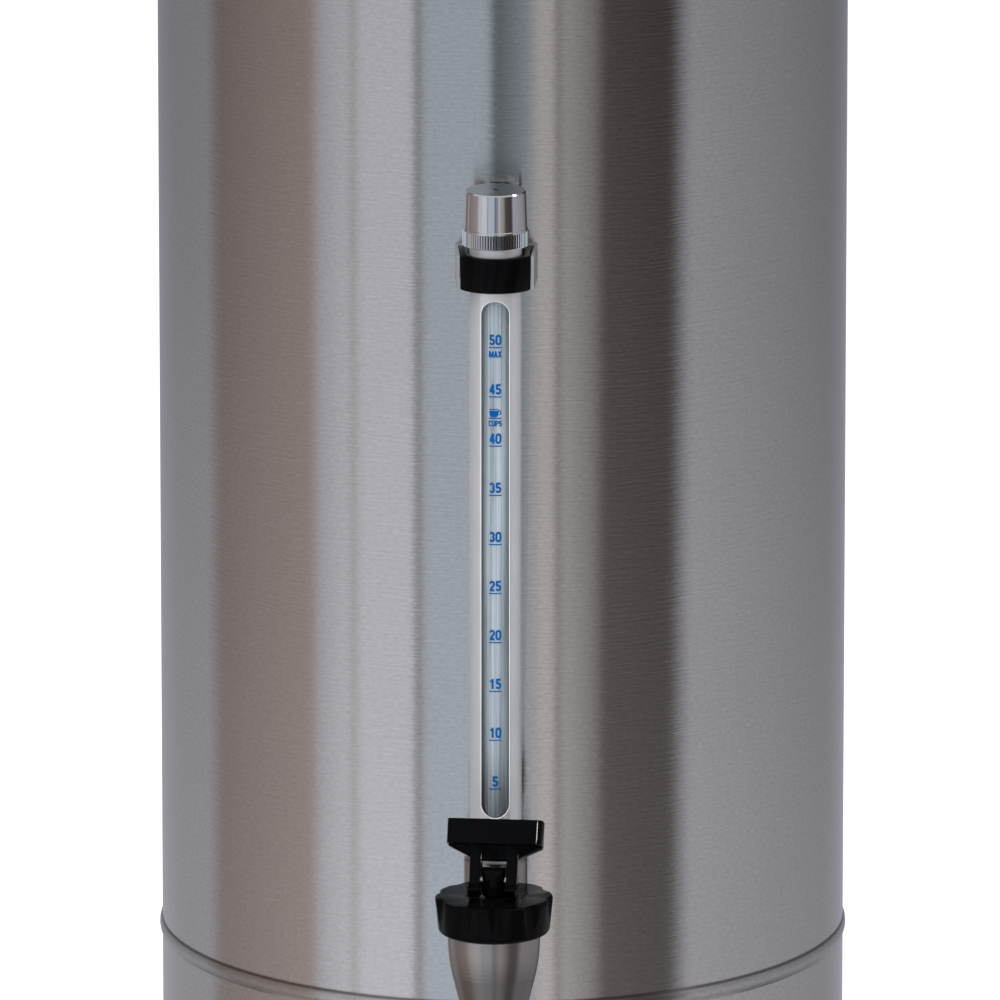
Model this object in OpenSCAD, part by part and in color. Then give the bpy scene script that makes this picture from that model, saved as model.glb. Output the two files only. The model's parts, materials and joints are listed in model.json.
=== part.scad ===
// Hot water urn: a free-standing brushed steel vessel on a base skirt, with a sight gauge and a lever tap.
// The origin lies on the table on the vessel's axis. The tap faces -Y and +Z is up. All sizes are millimetres.

/* [Vessel] */
// Outer diameter of the vessel wall
body_d = 226; // [216:1:240]
// Thickness of the vessel wall and of the base skirt
wall_t = 1; // [0.8:0.1:1.4]
// Height of the bead's centre above the table
bead_z = 105; // [100:1:115]
// Height of the rim above the bead
body_h = 368; // [355:1:390]
// Height of the bead rolled into the wall
bead_h = 5.6; // [4.4:0.1:6.6]
// How far the bead stands proud of the wall
bead_out = 0.9; // [0.6:0.1:1.2]
// Radius of the rolled rim
rim_r = 2.8; // [2:0.1:3.5]
// Height of the plain band under the rolled rim
rim_band = 4; // [3:0.5:8]
// Thickness of the vessel's floor
floor_t = 1.2; // [0.8:0.1:2]
// Depth of the floor below the tap's shank
floor_drop = 18; // [16.5:0.5:18.5]

/* [Base] */
// Height of the rubber feet
foot_h = 8; // [6:0.5:12]
// Radius of a foot at the table
foot_r = 10; // [8:0.5:11]
// Thickness of the bottom plate
plate_t = 1; // [0.8:0.1:1.5]
// Width of the skirt's inward flange
flange_w = 24; // [22:1:30]
// Height of the lip that plugs into the vessel wall
lip_h = 4; // [3:0.5:4.5]
// Length of a vent slot in the bottom plate
vent_l = 30; // [20:1:34]
// Width of a vent slot in the bottom plate
vent_w = 4; // [3:0.5:5]

/* [Lid] */
// Thickness of the lid
lid_t = 1; // [0.8:0.1:1.5]
// Rise of the lid's crown above its flange
lid_rise = 15; // [10:1:22]
// Depth of the lid's plug inside the vessel
lid_plug = 10; // [8:0.5:14]
// Diameter of the lid's knob
knob_d = 40; // [34:1:46]
// Height of the lid's knob
knob_h = 28; // [24:1:34]

/* [Handles] */
// Radius of a handle's loop to the middle of its bar
loop_r = 34; // [30:1:38]
// Thickness of a handle's bar seen from above
bar_w = 12; // [11:0.5:14]
// Height of a handle's bar
bar_h = 22; // [18:1:26]
// Depth of a handle's middle below the rim
handle_drop = 24; // [20:1:30]

/* [Gauge] */
// Distance of the gauge's axis from the wall
gauge_out = 12; // [12:0.1:13]
// Outer diameter of the gauge's metal shield
shield_d = 16.8; // [16:0.1:17.4]
// Wall of the metal shield
shield_t = 1.4; // [1.2:0.1:1.6]
// Outer diameter of the glass tube
glass_d = 12; // [11:0.1:12.4]
// Wall of the glass tube
glass_t = 1.4; // [1:0.1:2]
// Width of the shield's window
window_w = 9.2; // [7:0.1:10]
// Height of the window's lower end above the bead
window_low = 70; // [66:0.5:80]
// Height of the window's upper end above the bead
window_high = 241.5; // [230:0.5:242]
// Height of the middle of the gauge's clip above the bead
clip_mid = 250; // [248.5:0.1:250.3]
// Height of the clip and its bracket
clip_h = 11.3; // [9:0.1:11.5]
// Width of the clip
clip_w = 22.5; // [21.5:0.1:24]
// Height of the cap's lower edge above the clip
cap_low = 2.85; // [2:0.05:6]
// Height of the gauge cap's fluted band
flute_h = 4.8; // [4:0.1:6]
// Height of the gauge cap's barrel above its fluted band
barrel_h = 13; // [12:0.1:16]
// Diameter of the fluted band
flute_d = 21.4; // [21:0.1:22.4]
// Diameter of the cap's barrel at its foot
barrel_d = 20.4; // [20:0.1:20.8]
// Diameter of the cap's barrel at its crown
crown_d = 19.6; // [18.8:0.1:20]
// Number of flutes around the cap
flute_n = 72; // [48:2:90]

/* [Tap] */
// Distance of the valve's axis from the wall
tap_out = 42; // [41.5:0.5:46]
// Height of the tap's shank above the bead
shank_up = 27; // [26:0.5:28]
// Radius of the shank where it passes the wall
shank_r = 8; // [7:0.1:8.5]
// Radius of the water way through the shank
way_r = 5; // [4:0.1:5.5]
// Radius of the boss that holds the gauge
boss_r = 10.3; // [10:0.1:10.6]
// Height of the gauge boss above the shank's middle
boss_up = 29; // [28:0.5:30]
// Radius of the valve chamber's outside
chamber_r = 14.9; // [14.5:0.1:15.4]
// Radius of the spout's tip
tip_r = 7.1; // [6.8:0.1:8]
// Drop of the spout's tip below the shank's middle
tip_drop = 29; // [26:0.5:32]
// Radius of the spout's outlet
outlet_r = 5.2; // [4.5:0.1:5.4]
// Radius of the black bonnet over its lobes
bonnet_r = 19; // [18:0.1:19]
// Height of the bonnet
bonnet_h = 12; // [11:0.1:13]
// Number of scallops around the bonnet
scallop_n = 10; // [6:1:12]
// Depth of a scallop
scallop_depth = 1.7; // [0.6:0.1:1.8]
// Turn of the bonnet and lever about the valve's axis
lever_turn = -5; // [-10:1:10]
// Width of the lever's paddle
paddle_w = 30.8; // [28:0.2:36]
// Height of the lever above its pin, measured along its lean
lever_up = 19.2; // [18:0.1:24]
// Lean of the shut lever towards the wall, in degrees
lever_lean = 22; // [10:1:30]
// Width across the lever's fork
fork_w = 15.3; // [15:0.1:17]
// Gap between the fork's legs
fork_gap = 8.4; // [7.6:0.1:8.6]
// Swing of the lever from shut to fully open, in degrees
lever_swing = 60; // [50:5:75]
// Lift of the valve's stem at full swing
stem_lift = 4; // [3:0.5:6]
// Radius of the lever's pin
pin_r = 1.5; // [1.2:0.1:1.8]
// Height of the lever's pin above the bonnet
pin_up = 5; // [4.8:0.1:5.6]

/* [Heater and controls] */
// Radius of the heating plate under the floor
heater_r = 72; // [66:1:80]
// Thickness of the heating plate
heater_t = 6; // [5:0.5:8]
// Radius of the heating element's ring
ring_r = 52; // [48:1:56]
// Radius of the heating element's tube
tube_r = 3.3; // [3:0.1:4]
// Width of the control panel
panel_w = 70; // [66:1:80]
// Height of the control panel
panel_h = 40; // [38:1:46]
// Thickness of the control panel in the middle
panel_out = 5; // [4:0.5:7]
// Height of the control panel's middle above the table
panel_z = 54; // [44:1:62]
// Width of the rocker
rocker_w = 16; // [14:0.5:18]
// Length of the rocker
rocker_l = 23; // [21:0.5:25]
// Tilt of the rocker either side of its middle, in degrees
rocker_tilt = 8; // [5:1:10]
// Radius of a pilot lamp's lens
lamp_r = 5; // [4:0.5:6]
// Height of the power inlet's middle above the table
inlet_z = 46; // [36:1:60]

/* [Hidden] */
$fn = 96;
// Facets of the large round faces that thin pieces are cut to
wall_fn = 720;

// Clearances
fit = 0.1;
gap = 0.3;
slack = 0.4;
bore_fit = 0.05;
through = 1;

// Places on the vessel
body_r = body_d / 2;
bore_r = body_r - wall_t;
rim_z = bead_z + body_h;
rim_seam = rim_z - rim_r - rim_band;
bead_r = (bead_h * bead_h / 4 + bead_out * bead_out) / (2 * bead_out);
shell_z = bead_z - bead_h / 2 - 0.7;
shank_z = bead_z + shank_up;
floor_z = shank_z - floor_drop;
floor_bend = 4;
floor_skirt = 7;
handle_z = rim_z - handle_drop;
loop_x = sqrt(body_r * body_r + loop_r * loop_r);
handle_turn = atan(loop_r / body_r);
loop_reach = 8;

// Places on the base
skirt_z = foot_h + plate_t;
foot_ring = body_r - 13;
foot_top_r = foot_r + 1;
foot_screw_r = 2;
foot_head_r = 4;
foot_head_h = 2.6;
foot_recess = 4;
vent_ring = 58;
vent_n = 12;

// Places on the lid
lid_flange_r = body_r + 3;
lid_plug_r = bore_r - 0.8;
lid_z = rim_z + gap;
crown_z = lid_z + lid_t + lid_rise;
crown_r = 18;
vent_hole_r = 2.5;
vent_hole_at = 62;
stud_r = 2.5;
stud_washer_r = 9;
stud_washer_t = 1.5;

// Handle screws
handle_screw_r = 2.5;
handle_head_r = 4.5;
handle_head_h = 3;
handle_thread = 15;

// Places on the gauge
gauge_y = -(body_r + gauge_out);
shield_r = shield_d / 2;
shield_in = shield_r - shield_t;
glass_r = glass_d / 2;
glass_in = glass_r - glass_t;
clip_low = bead_z + clip_mid - clip_h / 2;
clip_front = shield_r + 2.6;
clip_corner = 6.4;
clip_back = 9.5;
clip_mouth = 8;
bracket_t = 1;
bracket_splay = 1;
cap_z = clip_low + clip_h + cap_low;
cap_top = cap_z + flute_h + barrel_h;
cap_roof = 3.4;
cap_bore = shield_r + fit;
cap_cavity = 7.2;
cap_vent_r = 0.8;
shield_top = cap_z + 3.4;
seal_t = 2;
bush_h = 6;

// Places on the tap
valve_y = -(body_r + tap_out);
washer_t = 1.5;
tap_flange_r = 13.5;
tap_flange_t = 4;
shank_in = 16;
nut_t = 6;
nut_across = 22;
inner_washer_t = 2.5;
boss_top = shank_z + boss_up;
boss_edge = 1.7;
shield_sink = 5;
shield_low = boss_top - shield_sink;
seal_low = shield_low - 8;
chamber_top = shank_z + 11.3;
arc_top = chamber_top - 1.6;
arc_r = 57;
arc_turn = 12.2;
tip_z = shank_z - tip_drop;
neck_r = 12.8;
neck_top = chamber_top + 6.6;
gasket_t = 1.2;
bonnet_low = chamber_top + 0.2;
bonnet_top = bonnet_low + bonnet_h;
bonnet_foot_r = bonnet_r - 0.9;
bonnet_edge = 1;
bonnet_foot_edge = 1.8;
bonnet_roof = neck_top + gasket_t;
scallop_r = 6;
scallop_turn = -7;
chamber_in = 10.2;
seat_low = shank_z - 10.5;
seat_high = shank_z - 5.5;
stem_r = 3;
tip_stem_r = 2.5;
shoulder_z = shank_z + 2;
shoulder_t = 3;
shoulder_r = 5.6;
pin_z = bonnet_top + pin_up;
head_r = 4.2;
paddle_h = 7.95;
paddle_d = 10;
paddle_low = lever_up - paddle_h;
cam_rate = stem_lift / (lever_swing * PI / 180);
heel = pin_up - gap;
spring_wire = 1;
spring_r = 4.6;
spring_turns = 6;
spring_low = shoulder_z + shoulder_t;
spring_high = bonnet_roof;

// Places on the heater and the controls
heater_top = floor_z - floor_t;
heater_low = heater_top - heater_t;
ring_open = 36;
cold_leg = 14;
terminal_r = 1.4;
terminal_l = 9;
stat_r = 9;
stat_h = 9;
stat_at = 20;
stat_screw_r = 1.5;
stat_screw_at = 12;
stat_bite = 3;
stud_at = 38;
stud_l = 8;
panel_y = -(body_r + panel_out);
panel_corner = 8;
bezel = 2.5;
bezel_t = 1.2;
switch_depth = 26;
switch_wall = 1.5;
rocker_pivot = 5;
rocker_reach = 6.4;
rocker_dip = 1.8;
trunnion_r = 1.5;
trunnion_l = 1;
lamp_at = 25;
lamp_body_r = lamp_r - 1;
lamp_depth = 18;
panel_screw_r = 1.5;
panel_screw_x = 26;
panel_screw_z = 13;
panel_screw_bite = 3;
inlet_w = 27;
inlet_h = 20;
inlet_depth = 24;
inlet_wall = 1.6;
inlet_floor = 4;
inlet_ears = 50;
inlet_out = 4.5;
inlet_hole = 40;
inlet_screw_r = 1.6;
pin_gap = 14;
pin_off = 2;
pin_len = 15;
pin_tail = 8;
lead_r = 1.4;
lamp_lead_r = 0.9;

steel = "silver";
bright = "gainsboro";
black = [0.06, 0.06, 0.065];
rubber = [0.12, 0.12, 0.12];
silicone = "whitesmoke";
brass = "khaki";

// Points of an arc about c from angle a0 to angle a1
function arc(c, r, a0, a1, n = 8) =
    [for (i = [0:n]) c + r * [cos(a0 + (a1 - a0) * i / n), sin(a0 + (a1 - a0) * i / n)]];

// A rectangle with round corners, centred on the origin
module rounded_rect(w, h, r) {
    square([w - 2 * r, h], center = true);
    square([w, h - 2 * r], center = true);
    for (x = [-1, 1], y = [-1, 1])
        translate([x * (w / 2 - r), y * (h / 2 - r)]) circle(r);
}

// A flat outline in X and Z, carried along Y from y0 to y1
module along_y(y0, y1) {
    translate([0, y1, 0]) rotate([90, 0, 0]) linear_extrude(y1 - y0) children();
}

// A cylinder along Y from y0 to y1 at height z
module rod_y(r, y0, y1, z) {
    translate([0, y0, z]) rotate([-90, 0, 0]) cylinder(r = r, h = y1 - y0);
}

// A cylinder along the vessel's radius, from radius r0 to r1, at a turn about Z
module radial_rod(r, r0, r1, turn, z) {
    rotate([0, 0, turn]) translate([r0, 0, z]) rotate([0, 90, 0]) cylinder(r = r, h = r1 - r0);
}

module at_gauge() {
    translate([0, gauge_y, 0]) children();
}

// The frame of the valve's axis, turned as the bonnet was tightened
module at_valve() {
    translate([0, valve_y, 0]) rotate([0, 0, lever_turn]) children();
}

// The vessel wall with its bead and the holes for tap and handles
module body_shell() {
    color(steel) difference() {
        rotate_extrude() difference() {
            union() {
                translate([bore_r, shell_z]) square([wall_t, rim_seam - shell_z]);
                intersection() {
                    translate([body_r + bead_out - bead_r, bead_z]) circle(bead_r);
                    translate([bore_r, shell_z]) square([wall_t + 2 * bead_out, 2 * (bead_z - shell_z)]);
                }
            }
            translate([body_r + bead_out - bead_r, bead_z]) circle(bead_r - wall_t);
        }
        rod_y(shank_r + gap, -body_r - through, -bore_r + through, shank_z);
        for (side = [0, 180], turn = [-handle_turn, handle_turn])
            radial_rod(handle_screw_r + gap, bore_r - through, body_r + through, side + turn, handle_z);
    }
}

// The rolled rim, a ring welded on the wall's top edge
module rim_ring() {
    color(steel) rotate_extrude() {
        translate([bore_r, rim_seam]) square([wall_t, rim_z - rim_r - rim_seam]);
        translate([bore_r + rim_r, rim_z - rim_r]) circle(rim_r);
    }
}

// The floor, pressed with a skirt and welded inside the wall
module tank_floor() {
    r = bore_r - fit;
    low = floor_z - floor_skirt;
    color(steel) rotate_extrude() polygon(concat(
        [[0, floor_z]],
        arc([r - floor_bend, floor_z - floor_bend], floor_bend, 90, 0),
        [[r, low], [r - floor_t, low]],
        arc([r - floor_bend, floor_z - floor_bend], floor_bend - floor_t, 0, 90),
        [[0, floor_z - floor_t]]
    ));
}

// The base skirt: its lip plugs into the wall, its flange carries the bottom plate
module base_skirt() {
    lip_r = bore_r - fit;
    color(steel) difference() {
        rotate_extrude() polygon([
            [body_r - flange_w, skirt_z], [body_r, skirt_z], [body_r, shell_z], [lip_r, shell_z],
            [lip_r, shell_z + lip_h], [lip_r - wall_t, shell_z + lip_h],
            [lip_r - wall_t, shell_z - wall_t], [body_r - wall_t, shell_z - 2 * wall_t],
            [body_r - wall_t, skirt_z + wall_t], [body_r - flange_w, skirt_z + wall_t]
        ]);
        foot_places() cylinder(r = foot_screw_r + fit, h = skirt_z + wall_t + through);
        along_y(-body_r - through, 0) translate([0, panel_z])
            square([rocker_w + 2 * bezel, rocker_l + 2 * bezel], center = true);
        for (x = [-lamp_at, lamp_at]) translate([x, 0, 0]) rod_y(lamp_body_r + gap, -body_r - through, 0, panel_z);
        panel_screw_places() rod_y(panel_screw_r + fit, -body_r - through, 0, 0);
        along_y(0, body_r + through) translate([0, inlet_z])
            square([inlet_w + 2 * gap, inlet_h + 2 * gap], center = true);
        inlet_screw_places() rod_y(inlet_screw_r + fit, 0, body_r + through, 0);
    }
}

module foot_places() {
    for (turn = [45:90:315]) rotate([0, 0, turn]) translate([foot_ring, 0, 0]) children();
}

// The bottom plate with its ring of vent slots
module bottom_plate() {
    color(steel) translate([0, 0, foot_h]) difference() {
        cylinder(r = body_r - wall_t, h = plate_t);
        for (i = [0:vent_n - 1]) rotate([0, 0, i * 360 / vent_n])
            translate([vent_ring, 0, -through]) linear_extrude(plate_t + 2 * through)
                rounded_rect(vent_l, vent_w, vent_w / 2 - fit);
        translate([0, 0, -foot_h]) foot_places() cylinder(r = foot_screw_r + fit, h = skirt_z + through);
    }
}

// Four rubber feet, each bored and recessed for its screw
module feet() {
    color(rubber) foot_places() difference() {
        rotate_extrude() polygon([[0, 0], [foot_r - 1, 0], [foot_r, 1], [foot_top_r, foot_h], [0, foot_h]]);
        translate([0, 0, -through]) cylinder(r = foot_screw_r + fit, h = foot_h + 2 * through);
        translate([0, 0, -through]) cylinder(r = foot_head_r + fit, h = foot_recess + through);
    }
}

// Pan-head screws that hold the feet and the bottom plate to the skirt's flange
module foot_screws() {
    color(bright) foot_places() difference() {
        union() {
            translate([0, 0, foot_recess - foot_head_h]) cylinder(r = foot_head_r, h = foot_head_h);
            cylinder_from(foot_screw_r, foot_recess, skirt_z + wall_t + 5);
        }
        translate([0, 0, foot_recess - foot_head_h - through]) cross_recess(foot_head_r * 1.2, 0.9, 1.4 + through);
    }
}

module cylinder_from(r, z0, z1) {
    translate([0, 0, z0]) cylinder(r = r, h = z1 - z0);
}

module cross_recess(l, w, h) {
    for (turn = [0, 90]) rotate([0, 0, turn]) translate([-l / 2, -w / 2, 0]) cube([l, w, h]);
}

// The lid: crown, flange on the rim and plug inside the wall
module lid() {
    bow_r = (pow(lid_plug_r, 2) + pow(lid_rise, 2)) / (2 * lid_rise);
    bow_a = asin(lid_plug_r / bow_r);
    bow_c = [0, lid_z + lid_t + lid_rise - bow_r];
    color(steel) difference() {
        rotate_extrude() polygon(concat(
            arc(bow_c, bow_r, 90, 90 - bow_a, 14),
            [[lid_flange_r, lid_z + lid_t], [lid_flange_r, lid_z], [lid_plug_r, lid_z],
             [lid_plug_r, lid_z - lid_plug], [lid_plug_r - lid_t, lid_z - lid_plug],
             [lid_plug_r - lid_t, lid_z]],
            [for (p = arc(bow_c, bow_r - lid_t, 90 - bow_a * 0.985, 90, 14)) p]
        ));
        translate([0, 0, lid_z - through]) cylinder(r = stud_r + fit, h = lid_rise + 3 * through);
        translate([vent_hole_at, 0, lid_z - through]) cylinder(r = vent_hole_r, h = lid_rise + 3 * through);
    }
}

// The knob: a waisted foot under a round grip with a softened rim
module lid_knob() {
    r = knob_d / 2;
    foot = 13;
    waist = 9;
    edge = 6;
    z0 = crown_z + fit;
    color(black) difference() {
        rotate_extrude() polygon(concat(
            [[0, z0], [foot, z0]],
            arc([foot + 1, z0 + 6], 5, 270, 180, 6),
            [[waist, z0 + knob_h * 0.42]],
            arc([r - edge, z0 + knob_h * 0.7], edge, -80, 78, 10),
            [[0, z0 + knob_h]]
        ));
        translate([0, 0, z0 - through]) cylinder(r = stud_r + bore_fit, h = 14 + through);
    }
}

// The knob's screw with its washer under the crown
module lid_knob_screw() {
    under = crown_z - lid_t - 0.5;
    color(bright) {
        cylinder_from(stud_r, under - stud_washer_t, crown_z + 13);
        cylinder_from(stud_washer_r, under - stud_washer_t, under);
        cylinder_from(5, under - stud_washer_t - 3, under - stud_washer_t);
    }
}

// A loop handle: its bar leaves the wall square and swings round to the other end
module handle() {
    sweep = 180 - acos(loop_r / loop_x) + loop_reach;
    color(black) difference() {
        translate([loop_x, 0, handle_z]) rotate([0, 0, -sweep]) rotate_extrude(angle = 2 * sweep)
            translate([loop_r, 0]) rounded_rect(bar_w, bar_h, 4.5);
        translate([0, 0, handle_z - bar_h]) cylinder(r = body_r + fit, h = 2 * bar_h);
        for (turn = [-handle_turn, handle_turn])
            radial_rod(handle_screw_r + bore_fit, body_r - through, body_r + handle_thread, turn, handle_z);
    }
}

module right_handle() {
    handle();
}

module left_handle() {
    rotate([0, 0, 180]) handle();
}

// The handles' screws, with their heads inside the vessel
module handle_screws() {
    color(bright) for (side = [0, 180], turn = [-handle_turn, handle_turn]) {
        radial_rod(handle_screw_r, bore_r - fit - through, body_r + handle_thread - through, side + turn, handle_z);
        radial_rod(handle_head_r, bore_r - fit - handle_head_h, bore_r - fit, side + turn, handle_z);
    }
}

// The gauge's metal shield with its long window to the front
module gauge_shield() {
    low = bead_z + window_low + window_w / 2;
    high = bead_z + window_high - window_w / 2;
    color("lightgray") at_gauge() difference() {
        cylinder_from(shield_r, shield_low, shield_top);
        cylinder_from(shield_in, shield_low - through, shield_top + through);
        along_y(-shield_r - through, 0) {
            translate([-window_w / 2, low]) square([window_w, high - low]);
            for (z = [low, high]) translate([0, z]) circle(window_w / 2);
        }
    }
}

// The glass tube, from the lower seal into the cap
module gauge_glass() {
    color("lightblue", 0.5) at_gauge() difference() {
        cylinder_from(glass_r, seal_low + 2, shield_top + seal_t + 3);
        cylinder_from(glass_in, seal_low + 2 - through, shield_top + seal_t + 3 + through);
    }
}

// The screw cap: a fluted band under a plain tapered barrel, with a vent in its crown
module gauge_cap() {
    roof = cap_top - cap_roof;
    color(bright) at_gauge() difference() {
        union() {
            translate([0, 0, cap_z]) linear_extrude(flute_h) fluted_disc(flute_d / 2, 0.8, flute_n);
            rotate_extrude() polygon([
                [0, cap_z + flute_h], [barrel_d / 2 + 0.2, cap_z + flute_h],
                [barrel_d / 2 + 0.2, cap_z + flute_h + 0.6], [barrel_d / 2, cap_z + flute_h + 0.9],
                [crown_d / 2, cap_top - 0.4], [crown_d / 2 - 0.4, cap_top], [0, cap_top]
            ]);
        }
        cylinder_from(cap_bore, cap_z - through, shield_top + gap + seal_t + gap);
        cylinder_from(cap_cavity, cap_z, roof);
        cylinder_from(cap_vent_r, roof - through, cap_top + through);
    }
}

// A disc whose rim is cut into v-shaped flutes
module fluted_disc(r, depth, n) {
    polygon([for (i = [0:2 * n - 1]) let (a = i * 180 / n, q = r - depth * (i % 2)) q * [cos(a), sin(a)]]);
}

// The ring that the cap presses on the shield's end
module gauge_cap_seal() {
    color(rubber) at_gauge() difference() {
        cylinder_from(shield_r - fit, shield_top + gap, shield_top + gap + seal_t);
        cylinder_from(glass_r + gap, shield_top, shield_top + 2 * gap + seal_t);
    }
}

// The bush that centres the glass in the top of the shield
module gauge_top_bush() {
    color(silicone) at_gauge() difference() {
        cylinder_from(shield_in - bore_fit, shield_top - 1 - bush_h, shield_top - 1);
        cylinder_from(glass_r + bore_fit, shield_top - 1 - bush_h - through, shield_top);
    }
}

// The seal that the glass stands in, inside the tap's boss
module gauge_bottom_seal() {
    color(silicone) at_gauge() difference() {
        cylinder_from(shield_in - bore_fit, seal_low, shield_low);
        cylinder_from(glass_r + bore_fit, seal_low + 2 - bore_fit, shield_low + through);
        cylinder_from(glass_in, seal_low - through, shield_low);
    }
}

// The sheet steel bracket: a web on the wall and two cheeks that draw in towards the front
module gauge_bracket() {
    half = clip_w / 2 + fit;
    front = gauge_y - clip_front + clip_corner;
    color(bright) translate([0, 0, clip_low]) difference() {
        linear_extrude(clip_h) difference() {
            polygon([
                [-half - bracket_t - bracket_splay, -body_r + 2], [half + bracket_t + bracket_splay, -body_r + 2],
                [half + bracket_t, front], [-half - bracket_t, front]
            ]);
            polygon([
                [-half - bracket_splay, -body_r - bracket_t - fit], [half + bracket_splay, -body_r - bracket_t - fit],
                [half, front - through], [-half, front - through]
            ]);
        }
        translate([0, 0, -through]) cylinder(r = body_r + fit, h = clip_h + 2 * through, $fn = wall_fn);
    }
}

// The black clip round the shield: a bowed front on two straight sides
module gauge_clip() {
    half = clip_w / 2;
    bow_r = (half * half + clip_corner * clip_corner) / (2 * clip_corner);
    bow_a = asin(half / bow_r);
    color(black) translate([0, gauge_y, clip_low]) linear_extrude(clip_h) difference() {
        polygon(concat(
            arc([0, bow_r - clip_front], bow_r, 270 - bow_a, 270 + bow_a, 12),
            [[half, clip_back], [-half, clip_back]]
        ));
        circle(shield_r + fit);
        translate([-clip_mouth / 2, 0]) square([clip_mouth, clip_back + through]);
    }
}

// The tap's casting: shank and flange, gauge boss, valve chamber and spout
module tap_body() {
    face_y = -(body_r + washer_t);
    arc_c = [chamber_r - arc_r, arc_top];
    color(bright) difference() {
        union() {
            translate([0, valve_y, 0]) rotate_extrude() polygon(concat(
                [[0, tip_z], [tip_r - 0.6, tip_z], [tip_r, tip_z + 0.8]],
                arc(arc_c, arc_r, -arc_turn, 0, 8),
                [[chamber_r, chamber_top], [neck_r, chamber_top], [neck_r, neck_top], [0, neck_top]]
            ));
            rod_y(boss_r - 0.8, valve_y, face_y - tap_flange_t / 2, shank_z);
            rod_y(tap_flange_r, face_y - tap_flange_t, face_y, shank_z);
            rod_y(shank_r, face_y - tap_flange_t, -bore_r + shank_in, shank_z);
            at_gauge() rotate_extrude() polygon(concat(
                [[0, shank_z - 6], [boss_r, shank_z - 6]],
                arc([boss_r - boss_edge, boss_top - boss_edge], boss_edge, 0, 90, 6),
                [[0, boss_top]]
            ));
        }
        translate([0, valve_y, 0]) rotate_extrude() polygon([
            [0, tip_z - through], [outlet_r, tip_z - through], [outlet_r, seat_low],
            [chamber_in, seat_high], [chamber_in, neck_top + through], [0, neck_top + through]
        ]);
        rod_y(way_r, valve_y, -bore_r + shank_in + through, shank_z);
        at_gauge() {
            cylinder_from(shield_r + fit, shield_low, boss_top + through);
            cylinder_from(shield_in, seal_low, boss_top);
            cylinder_from(glass_in, shank_z, boss_top);
        }
    }
}

// The scalloped bonnet that closes the valve chamber
module tap_bonnet() {
    e = bonnet_edge;
    f = bonnet_foot_edge;
    lean = atan((scallop_depth + 0.2 - bonnet_r + bonnet_foot_r) / bonnet_h);
    color(black) at_valve() difference() {
        rotate_extrude() polygon(concat(
            [[0, bonnet_low]],
            arc([bonnet_foot_r - f, bonnet_low + f], f, -90, -5, 6),
            arc([bonnet_r - e, bonnet_top - e], e, 5, 90, 5),
            [[0, bonnet_top]]
        ));
        for (i = [0:scallop_n - 1]) rotate(scallop_turn + i * 360 / scallop_n)
            translate([bonnet_r + scallop_r - scallop_depth, 0, bonnet_top]) rotate([0, -lean, 0])
                translate([0, 0, -2 * bonnet_h]) cylinder(r = scallop_r, h = 3 * bonnet_h);
        cylinder_from(neck_r + 0.2, bonnet_low - through, bonnet_roof);
        cylinder_from(stem_r + fit, bonnet_low, bonnet_top + through);
    }
}

// The gasket between the chamber's neck and the bonnet
module bonnet_gasket() {
    color(silicone) at_valve() difference() {
        cylinder_from(neck_r, neck_top, neck_top + gasket_t);
        cylinder_from(chamber_in, neck_top - through, neck_top + gasket_t + through);
    }
}

// The valve stem: flat head for the pin, rod, spring shoulder and tip
module tap_stem() {
    head_w = fork_gap - 2 * slack;
    head_low = bonnet_top + gap;
    color(black) at_valve() difference() {
        union() {
            intersection() {
                cylinder_from(head_w / 2, head_low, pin_z + head_r);
                union() {
                    translate([-head_w, 0, pin_z]) rotate([0, 90, 0]) cylinder(r = head_r, h = 2 * head_w);
                    translate([-head_w, -head_w, head_low - through])
                        cube([2 * head_w, 2 * head_w, pin_z - head_low + through]);
                }
            }
            cylinder_from(stem_r, shoulder_z, head_low + 1);
            cylinder_from(shoulder_r, shoulder_z, shoulder_z + shoulder_t);
            cylinder_from(tip_stem_r, shoulder_z - 8, shoulder_z + 1);
        }
        translate([-head_w, 0, pin_z]) rotate([0, 90, 0]) cylinder(r = pin_r + bore_fit, h = 2 * head_w);
    }
}

// The soft seat cup that shuts the outlet
module tap_seat_cup() {
    slope = (seat_high - seat_low) / (chamber_in - outlet_r);
    nose = outlet_r + 0.2;
    brim = chamber_in - 1.2;
    color(silicone) at_valve() difference() {
        rotate_extrude() polygon([
            [0, seat_low + (nose - outlet_r) * slope + 2 * slack],
            [nose, seat_low + (nose - outlet_r) * slope + 2 * slack],
            [brim, seat_low + (brim - outlet_r) * slope + 2 * slack],
            [brim, seat_high + 1], [shoulder_r, seat_high + 3.5], [shoulder_r, shoulder_z], [0, shoulder_z]
        ]);
        cylinder_from(tip_stem_r + bore_fit, shoulder_z - 8 - bore_fit, shoulder_z + through);
    }
}

// The closing spring: one unbroken round wire between the stem's shoulder and the bonnet
module tap_spring() {
    rings = 12;
    sides = 6;
    count = rings * spring_turns;
    low = spring_low + spring_wire / 2 + gap;
    high = spring_high - spring_wire / 2 - gap;
    points = [for (i = [0:count], k = [0:sides - 1])
        let (turn = i * 360 / rings, a = k * 360 / sides,
             r = spring_r + spring_wire / 2 * cos(a),
             z = low + (high - low) * i / count + spring_wire / 2 * sin(a))
        [r * cos(turn), r * sin(turn), z]];
    walls = [for (i = [0:count - 1], k = [0:sides - 1])
        let (a = i * sides + k, b = i * sides + (k + 1) % sides)
        each [[a, b, a + sides], [b, b + sides, a + sides]]];
    ends = [for (k = [1:sides - 2]) each
        [[0, k + 1, k], [count * sides, count * sides + k, count * sides + k + 1]]];
    color(bright) at_valve() polyhedron(points, concat(walls, ends));
}

// A point of the lever's own upright frame, leant back about the pin
function leant(p) = [
    p[0] * cos(lever_lean) + p[1] * sin(lever_lean),
    p[1] * cos(lever_lean) - p[0] * sin(lever_lean)
];

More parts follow.
